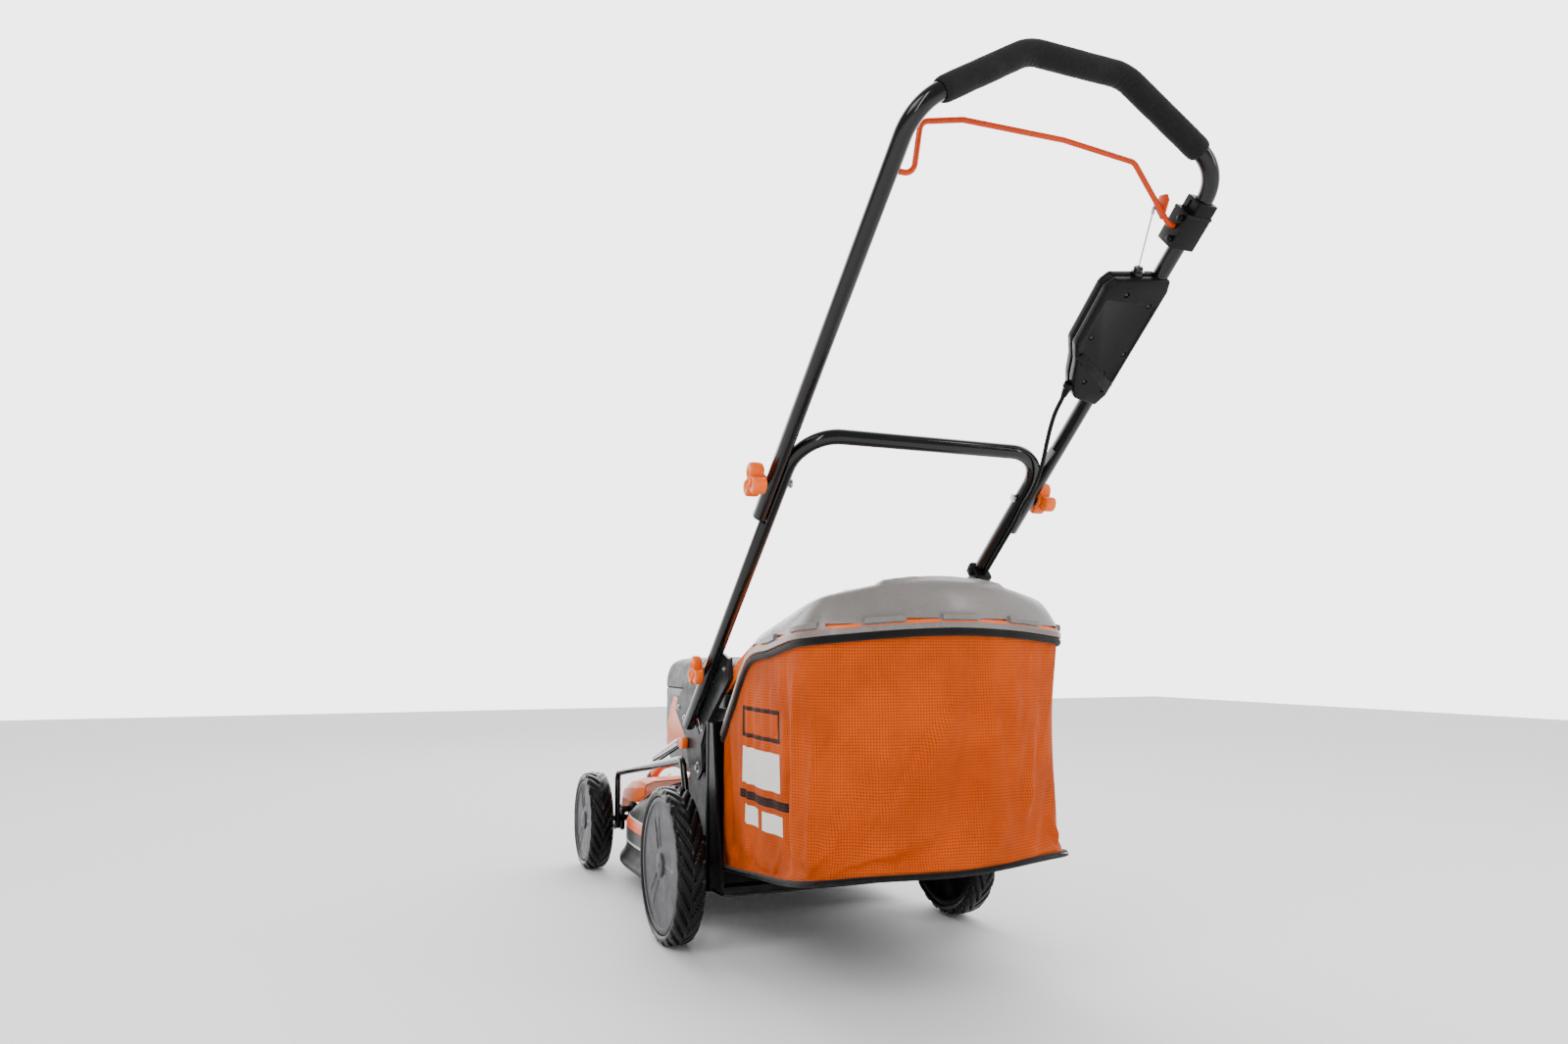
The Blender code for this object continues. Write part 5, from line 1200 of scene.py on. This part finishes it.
def make_flap():
    hinge_y, hinge_z = 0.002, 0.358
    left, right = FLAP_X
    grid = []
    for k in range(41):
        x = left + (right - left) * k / 40
        row = []
        for y, z in ((-0.002, 0.3612), (-0.02, 0.37), (-0.06, 0.3893), (-0.1, 0.406), (-0.14, 0.4216),
                     (-0.149, 0.4243)):
            crown = 0.002 * (1 - (2 * k / 40 - 1) ** 2) * smoothstep(-y, 0.0, 0.06)
            row.append((x, y, z + crown))
        grid.append(row)
    plate = soften(thicken(skin(grid), 0.0026), 0.0007, 2)
    piece(plate, "flap_plate", "flap", "orange", "rear_flap", angle=30)
    barrels = []
    for x0, x1 in ((left, -0.105), (-0.06, 0.05), (0.095, right)):
        barrels.append(turned([(0, 0.0034), (x1 - x0, 0.0034), (x1 - x0, 0.006), (0, 0.006)],
                              (x0, hinge_y, hinge_z), (1, 0, 0), 28, ring=True))
    piece(gather(barrels), "flap_barrels", "flap", "orange")
    apron = [(-0.006, 0.36), (-0.03, 0.372), (-0.08, 0.395), (-0.14, 0.419), (-0.14, 0.412),
             (-0.08, 0.376), (-0.03, 0.35), (-0.012, 0.344)]
    piece(soften(prism_x(apron, left - 0.0008, left + 0.0016), 0.0006, 2), "flap_side", "flap", "orange")
    ribs = []
    for k in range(7):
        x = left + 0.03 + 0.041 * k
        ribs.append(soften(prism_x([(-0.016, 0.3665), (-0.13, 0.416), (-0.13, 0.4135), (-0.03, 0.365)],
                                   x - 0.0009, x + 0.0009), 0.0003, 1))
    piece(gather(ribs), "flap_ribs", "flap", "orange")
    spring = []
    for k in range(161):
        angle = 2 * math.pi * k / 20
        spring.append(Vector((-0.082 + 0.0022 * k / 20, hinge_y + 0.0046 * math.cos(angle),
                              hinge_z + 0.0046 * math.sin(angle))))
    piece(swept(spring, 0.0006, 8), "flap_spring", "flap", "steel", angle=60)


BAG_RIM = [  # the bag's outline from its left front corner round the back: X, Y, rim, floor
    (-0.175, -0.06, 0.293, 0.113), (-0.1775, -0.11, 0.34, 0.118), (-0.179, -0.177, 0.401, 0.126),
    (-0.181, -0.26, 0.414, 0.137), (-0.182, -0.335, 0.425, 0.15), (-0.174, -0.368, 0.428, 0.156),
    (-0.15, -0.388, 0.431, 0.159), (-0.08, -0.408, 0.437, 0.162), (0.0, -0.415, 0.44, 0.163)]


def bag_outline(spacing=0.006):
    """The whole outline, left front to right front, as evenly spaced (x, y, rim, floor, distance)."""
    rows = blended(BAG_RIM + [(-x, y, rim, floor) for x, y, rim, floor in reversed(BAG_RIM[:-1])], 24)
    walked = [0.0]
    for a, b in zip(rows, rows[1:]):
        walked.append(walked[-1] + math.hypot(b[0] - a[0], b[1] - a[1]))
    count = 2 * round(walked[-1] / spacing / 2)
    outline, k = [], 0
    for i in range(count + 1):
        want = walked[-1] * i / count
        while k < len(rows) - 2 and walked[k + 1] < want:
            k += 1
        share = (want - walked[k]) / max(1e-9, walked[k + 1] - walked[k])
        x, y, rim, floor = [a + (b - a) * share for a, b in zip(rows[k], rows[k + 1])]
        sag = 0.0045 * smoothstep(0.14 - abs(x), 0.0, 0.14) * smoothstep(-y, 0.36, 0.4)
        lean = 0.005 * x / 0.18 * smoothstep(-y, 0.2, 0.36)
        outline.append([x, y, rim, floor - sag + lean, want])
    return outline


def outward(outline, i):
    """Level unit vector out of the bag at one point of its outline."""
    a, b = outline[max(0, i - 1)], outline[min(len(outline) - 1, i + 1)]
    along = Vector((b[0] - a[0], b[1] - a[1], 0)).normalized()
    return Vector((along.y, -along.x, 0)) if along.length else Vector((0, -1, 0))


CREASES = [  # across the cloth, from (walked, height) to (walked, height): how far out, how wide
    (0.312, 0.172, 0.415, 0.304, 0.0052, 0.02), (0.39, 0.222, 0.489, 0.343, 0.0046, 0.018),
    (0.442, 0.286, 0.528, 0.4, 0.004, 0.016), (0.34, 0.168, 0.47, 0.215, 0.0034, 0.018),
    (0.312, 0.36, 0.3, 0.17, 0.0046, 0.013), (0.275, 0.37, 0.262, 0.155, 0.005, 0.015),
    (0.246, 0.35, 0.238, 0.15, -0.004, 0.012), (0.112, 0.33, 0.108, 0.13, 0.0036, 0.012),
    (0.61, 0.31, 0.59, 0.215, 0.004, 0.016), (0.64, 0.215, 0.672, 0.178, 0.0036, 0.014),
    (0.56, 0.36, 0.65, 0.3, 0.003, 0.016), (0.52, 0.18, 0.6, 0.25, 0.0034, 0.02),
    (0.72, 0.35, 0.735, 0.17, 0.004, 0.015), (0.86, 0.31, 0.88, 0.15, 0.0036, 0.014)]


def crease_height(walked, height):
    """How far the cloth's creases push it out at one place."""
    at = Vector((walked, height))
    pushed = 0.0
    for u0, v0, u1, v1, out, wide in CREASES:
        a, along = Vector((u0, v0)), Vector((u1 - u0, v1 - v0))
        share = (at - a).dot(along) / along.dot(along)
        if -0.3 < share < 1.3:
            aside = abs((at.x - u0) * along.y - (at.y - v0) * along.x) / along.length
            ends = smoothstep(share, -0.25, 0.2) * (1 - smoothstep(share, 0.75, 1.25))
            pushed += 1.9 * out * ends * max(0.0, 1 - aside / wide) ** 1.6
    return pushed


CLOTH_SETTINGS = dict(quality=6, mass=0.25, tension_stiffness=18, compression_stiffness=18, shear_stiffness=3,
                      bending_stiffness=0.6, shrink_min=-0.012, shrink_max=-0.012, vertex_group_mass="held",
                      use_pressure=False)


def make_cloth(outline):
    """The cloth wall: hung a little slack between lid and tray, then settled by a cloth simulation."""
    rows = 46
    bm = bmesh.new()
    flat = bm.loops.layers.uv.new("flat")
    grid, where = [], {}
    for i, (x, y, rim, floor, walked) in enumerate(outline):
        way = outward(outline, i)
        column = []
        top, low = rim - 0.007, floor + 0.001
        for k in range(rows + 1):
            share = k / rows
            belly = math.sin(math.pi * share)
            ripple = 0.002 * belly * noise.noise(Vector((walked * 16, share * 3.0, 4.2)))
            hollow = -0.012 * belly * smoothstep(abs(x), 0.1, 0.17) * smoothstep(-y, 0.3, 0.38)
            fold = 0.0026 * belly * math.sin(walked * 2 * math.pi / 0.034) * (1 - smoothstep(-y, 0.1, 0.17))
            crease = crease_height(walked, low + (top - low) * share) * min(1.0, 3 * belly)
            out = way * (ripple + hollow + fold + crease - 0.003)
            vert = bm.verts.new(Vector((x, y, low + (top - low) * share)) + out)
            where[vert] = (walked, low + (top - low) * share - 0.05)
            column.append(vert)
        grid.append(column)
    for a, b in zip(grid, grid[1:]):
        for k in range(rows):
            face = bm.faces.new((a[k], b[k], b[k + 1], a[k + 1]))
            for loop in face.loops:
                loop[flat].uv = where[loop.vert]
    cloth = new_object("cloth", bm)
    count = (rows + 1)
    held = cloth.vertex_groups.new(name="held")
    last = len(grid) - 1
    for index in range(len(cloth.data.vertices)):
        i, k = divmod(index, count)
        if k in (0, rows) or i in (0, last):
            held.add([index], 1.0, "REPLACE")
    rest = [v.co.copy() for v in cloth.data.vertices]
    step = cloth.modifiers.new("Cloth", "CLOTH")
    for key, value in CLOTH_SETTINGS.items():
        setattr(step.settings, key, value)
    step.settings.effector_weights.gravity = 0.6
    step.collision_settings.use_collision = False
    step.point_cache.frame_start, step.point_cache.frame_end = 1, 24
    for number in range(1, 17):
        bpy.context.scene.frame_set(number)
    baked(cloth)
    bpy.context.scene.frame_set(1)
    most_out, most_in = 0.005, 0.006          # how far the settling may move the cloth
    for index, vert in enumerate(cloth.data.vertices):
        i, k = divmod(index, count)
        way = outward(outline, i)
        moved = (vert.co - rest[index]).dot(way)
        over = moved - max(-most_in, min(most_out, moved))
        vert.co -= way * over
    cloth.vertex_groups.clear()
    baked(modifier(cloth, "SUBSURF", levels=1, render_levels=1))
    thicken(cloth, 0.0008)
    piece(cloth, "bag_weave", "grass_bag", "cloth", "bag_cloth", angle=80)


def strip(outline, profile, first=0, last=None):
    """A moulding along the bag's outline: profile gives (out, up) points and tells rim from floor."""
    chosen = range(first, (len(outline) if last is None else last))
    loops = []
    for i in chosen:
        x, y, rim, floor, _ = outline[i]
        way = outward(outline, i)
        loops.append([Vector((x, y, rim if at_rim else floor)) + way * out + Vector((0, 0, up))
                      for out, up, at_rim in profile])
    return solid(loops)


def make_bag():
    outline = bag_outline()
    top = [(-0.001 + 0.0034 * math.cos(a), -0.0075 + 0.0046 * math.sin(a), True)
           for a in circle(14)]
    piece(strip(outline, top), "top_piping", "grass_bag", "piping", angle=60)
    low = [(0.0028 * math.cos(a), 0.003 * math.sin(a), False) for a in circle(12)]
    piece(strip(outline, low), "bottom_piping", "grass_bag", "piping", angle=60)
    lip = [(0.0016, -0.0024, True), (0.0026, -0.0018, True), (0.0026, 0.0004, True), (-0.0005, 0.008, True),
           (-0.0022, 0.008, True), (-0.0018, -0.0024, True)]
    piece(strip(outline, lip), "bag_rim_lip", "grass_bag", "orange", angle=30)
    make_cloth(outline)
    make_tray(outline)
    make_lid(outline)
    x, low_z, high_z, y = 0.16, 0.13, 0.286, -0.052
    hoop = rounded_path([(0.0, y, low_z), (-x, y, low_z), (-x, y, high_z), (x, y, high_z), (x, y, low_z),
                         (0.004, y, low_z)], 0.015, 8)
    piece(swept(hoop, 0.003, 16), "mouth_hoop", "grass_bag", "steel", "bag_frame")


def make_tray(outline):
    """Thin black pan under the cloth, ribbed, with a raised edge all round."""
    grid = []
    for (x, y, _, floor, _), mirrored in zip(outline[:(len(outline) - 1) // 2], reversed(outline)):
        row = []
        for k in range(33):
            share = 1 - k / 16
            rib = 0.0009 * (0.5 + 0.5 * math.cos(share * 2 * math.pi * 7)) * (1 - abs(share) ** 6)
            level = (floor + mirrored[3]) / 2 + share * (floor - mirrored[3]) / 2
            row.append((x * share, y, level - AIR - 0.0006 - rib))
        grid.append(row + [(px, py, pz - 0.0016) for px, py, pz in reversed(row)])
    piece(solid(grid), "floor_tray", "grass_bag", "plastic", "bag_tray", angle=35)
    edge = [(-0.0022, -0.004, False), (0.0018, -0.004, False), (0.003, -0.0028, False),
            (0.0034, 0.0002, False),
            (0.0026, 0.0006, False), (0.0014, -0.001, False), (-0.0022, -0.0012, False)]
    piece(strip(outline, edge), "tray_edge", "grass_bag", "plastic", angle=30)
    tail = soften(box((-0.01, 0.0, -0.001), (0.01, 0.012, 0.0008)), 0.0006, 2)
    for side in (-1, 1):
        fin = tail.copy()
        fin.data = tail.data.copy()
        bpy.context.scene.collection.objects.link(fin)
        spin = Matrix.Rotation(side * math.radians(-28), 4, "Z")
        corner = [row for row in outline if abs(row[1] + 0.384) < 0.006 and row[0] * side > 0][0]
        fin.data.transform(Matrix.Translation((corner[0], corner[1] - 0.004, corner[3] + 0.0006)) @ spin)
        piece(fin, f"tray_tail_{'left' if side < 0 else 'right'}", "grass_bag", "plastic")
    bpy.data.objects.remove(tail, do_unlink=True)


SLOTS_AT = (0.0475, 0.1425, 0.252, 0.35)     # middles of the lid's slots, walked from the back's middle


def nearest_to(outline, reach):
    """The place on the outline that lies reach metres from the back's middle."""
    middle_at = outline[(len(outline) - 1) // 2][4]
    return min(range(len(outline)), key=lambda i: abs(outline[i][4] - middle_at - reach))


def edge_distance(point, near):
    """Level distance from a point to a run of the bag's outline."""
    best = 1.0
    for a, b in zip(near, near[1:]):
        along = b - a
        share = max(0.0, min(1.0, (point - a).dot(along) / along.dot(along)))
        best = min(best, (point - a - along * share).length)
    return best


def rim_height(y):
    """Height of the bag's rim, which depends on the distance back only."""
    for (_, y0, rim0, _), (_, y1, rim1, _) in zip(BAG_RIM, BAG_RIM[1:]):
        if y >= y1:
            return rim0 + (rim1 - rim0) * min(1.0, (y0 - y) / (y0 - y1))
    return BAG_RIM[-1][2]


def lid_height(x, y, d):
    """The cover's top at a distance d inside its edge: wall, shoulder, crown, raised panel, two arms."""
    back = max(0.0, min(1.0, (-y - 0.06) / 0.32)) ** 1.6
    wall = 0.0115 * smoothstep(d, -0.001, 0.0035)
    shoulder = 0.034 * (0.6 + 0.4 * back) * math.sin(math.pi / 2 * min(1.0, max(0.0, d - 0.003) / 0.026))
    crown = 0.0235 * back * max(0.0, 1 - (x / 0.172) ** 2) * smoothstep(d, 0.004, 0.04)
    panel = 0.004 * smoothstep(0.088 - abs(x), 0.0, 0.006) * smoothstep(-y, 0.158, 0.166) \
        * (1 - smoothstep(-y, 0.374, 0.381))
    dip = 0.0034 * smoothstep(0.07 - abs(x), 0.0, 0.006) * smoothstep(-y, 0.178, 0.186) \
        * (1 - smoothstep(-y, 0.34, 0.347))
    arm = 0.0034 * smoothstep(0.014 - abs(abs(x) - 0.122 - 0.1 * (y + 0.23)), 0.0, 0.007) \
        * smoothstep(-y, 0.085, 0.105) * (1 - smoothstep(-y, 0.345, 0.362))
    return rim_height(y) + wall + shoulder + crown + panel - dip + arm


def make_lid(outline):
    """Crowned cover built in sections that run from the left edge over the spine to the right edge."""
    half = (len(outline) - 1) // 2
    shares = [1.0, 0.997, 0.993, 0.988, 0.981, 0.971, 0.958, 0.94,
              0.92] + [0.9 * (1 - k / 46) for k in range(47)]
    spine_end, thick = -0.27, 0.0026
    loops = []
    for i in range(half + 1):
        x, y, rim, _, _ = outline[i]
        way = outward(outline, i)
        out = Vector((way.x, way.y))
        near = [Vector(row[:2]) for row in outline[max(0, i - 18):i + 19]]
        spine = Vector((0, max(y, spine_end)))
        over = [(x + way.x * 0.0018, y + way.y * 0.0018, rim + 0.0004)]
        below = [(x - way.x * 0.0008, y - way.y * 0.0008, rim + 0.0004)]
        for share in shares:
            at = spine.lerp(Vector((x, y)), share)
            top = lid_height(at.x, at.y, edge_distance(at, near))
            spread = smoothstep(share, 0.0, 0.4)
            over.append((*(at + out * 0.0018 * spread), top))
            below.append((*(at - out * 0.0008 * spread), top - thick))
        across = over + [(-px, py, pz) for px, py, pz in reversed(over[:-1])]
        back = below + [(-px, py, pz) for px, py, pz in reversed(below[:-1])]
        loops.append(across + list(reversed(back)))
    lid = solid(loops)
    bm = bmesh.new()
    bm.from_mesh(lid.data)
    rear_cap = [f for f in bm.faces if len(f.verts) > 4 and f.calc_center_median().y < -0.2]
    bmesh.ops.delete(bm, geom=rear_cap, context="FACES_ONLY")
    bmesh.ops.remove_doubles(bm, verts=bm.verts, dist=0.00003)
    bmesh.ops.recalc_face_normals(bm, faces=bm.faces)
    bm.to_mesh(lid.data)
    bm.free()
    cutters = []
    for reach in [side * at for at in SLOTS_AT for side in (-1, 1)]:
        spot = nearest_to(outline, reach)
        x, y, rim, _, _ = outline[spot]
        way = outward(outline, spot)
        cutter = box((-0.0205, -0.012, -0.0022), (0.0205, 0.012, 0.0022))
        axes = Matrix((Vector((-way.y, way.x, 0)), way, Vector((0, 0, 1)))).transposed().to_4x4()
        cutter.data.transform(Matrix.Translation((x, y, rim + 0.0074)) @ axes)
        cutters.append(cutter)
    cut(lid, gather(cutters))
    piece(lid, "lid_cover", "grass_bag", "lid", "bag_lid", angle=32)
    skirt = [(0.0006, -0.0022, True), (0.0022, -0.0026, True), (0.003, -0.0018, True), (0.003, 0.0034, True),
             (0.0026, 0.004, True), (0.0019, 0.0034, True)]
    piece(strip(outline, skirt), "lid_skirt", "grass_bag", "lid", angle=30)
    tab = [(-0.004, 0.007, True), (0.002, 0.007, True), (0.0025, 0.0076, True), (0.0025, 0.0126, True),
           (0.0016, 0.014, True), (-0.008, 0.016, True)]
    tabs = []
    for reach in (-0.301, -0.197, -0.095, 0.0, 0.095, 0.197, 0.301):
        spot = nearest_to(outline, reach)
        tabs.append(strip(outline, tab, spot - 4, spot + 5))
    piece(gather(tabs), "lid_tabs", "grass_bag", "lid", angle=30)
    band = [(-0.0062, 0.001, True), (-0.0046, 0.001, True), (-0.0052, 0.0112, True), (-0.0064, 0.0112, True)]
    piece(strip(outline, band, 8, len(outline) - 8), "rim_band", "grass_bag", "orange", angle=30)


# ---------------------------------------------------------------- stage
def make_stage():
    bm = bmesh.new()
    corners = [bm.verts.new(p) for p in ((-6, -6, 0), (6, -6, 0), (6, 6, 0), (-6, 6, 0))]
    bm.faces.new(corners)
    floor = new_object("studio_floor", bm)
    floor.location.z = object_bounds()[0].z - 0.0002
    pale = bpy.data.materials.new("pale_floor")
    pale.use_nodes = True
    shader = pale.node_tree.nodes["Principled BSDF"]
    shader.inputs["Base Color"].default_value = (0.86, 0.86, 0.86, 1)
    shader.inputs["Roughness"].default_value = 0.75
    floor.data.materials.append(pale)
    floor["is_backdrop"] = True

    world = bpy.data.worlds.new("studio")
    world.use_nodes = True
    sky = world.node_tree.nodes["Background"]
    sky.inputs["Color"].default_value = (1.0, 1.0, 1.0, 1)
    tree = world.node_tree
    where = tree.nodes.new("ShaderNodeTexCoord")
    toward = tree.nodes.new("ShaderNodeVectorMath")
    toward.operation = "DOT_PRODUCT"
    toward.inputs[1].default_value = (0.372, 0.921, 0.118)      # the way to the bright backdrop
    backdrop = tree.nodes.new("ShaderNodeMapRange")
    for key, number in (("From Min", 0.25), ("From Max", 0.66), ("To Min", 0.5), ("To Max", 4.2)):
        backdrop.inputs[key].default_value = number
    tree.links.new(where.outputs["Generated"], toward.inputs[0])
    tree.links.new(toward.outputs["Value"], backdrop.inputs["Value"])
    tree.links.new(backdrop.outputs["Result"], sky.inputs["Strength"])
    bpy.context.scene.world = world
    target = Vector((0, 0, 0.45))
    for name, place, size, wide, power in (("key", (-2.4, -1.6, 2.6), 1.6, 1.0, 50),
                                           ("fill", (2.4, -1.6, 1.6), 2.2, 1.0, 20),
                                           ("rim", (0.4, 2.6, 2.2), 1.6, 1.0, 26),
                                           ("strip", (-1.1, -2.4, 1.5), 2.2, 0.1, 24),
                                           ("edge", (1.7, -2.0, 1.6), 2.2, 0.1, 16)):
        light = bpy.data.lights.new(name, "AREA")
        light.shape = "RECTANGLE"
        light.size, light.size_y, light.energy = size * wide, size, power
        obj = bpy.data.objects.new(name, light)
        obj.location = place
        obj.rotation_euler = (target - Vector(place)).to_track_quat("-Z", "Y").to_euler()
        bpy.context.scene.collection.objects.link(obj)


def make_camera():
    camera = bpy.data.cameras.new("camera")
    camera.lens, camera.sensor_width = 23.52, 36.0
    obj = bpy.data.objects.new("camera", camera)
    obj.location = (-0.6512, -1.444, 0.4106)
    obj.rotation_euler = (math.radians(97.147), 0.0, math.radians(-22.178))
    bpy.context.scene.collection.objects.link(obj)
    bpy.context.scene.camera = obj


for make in (make_camera, make_wheels, make_link_bar, make_deck, make_shroud, make_rear_frame, make_spring,
             make_hood, make_handle_tubes, make_knobs, make_switch_box, make_bail, make_cable, make_flap,
             make_bag, make_stage):
    make()
bpy.context.view_layer.update()
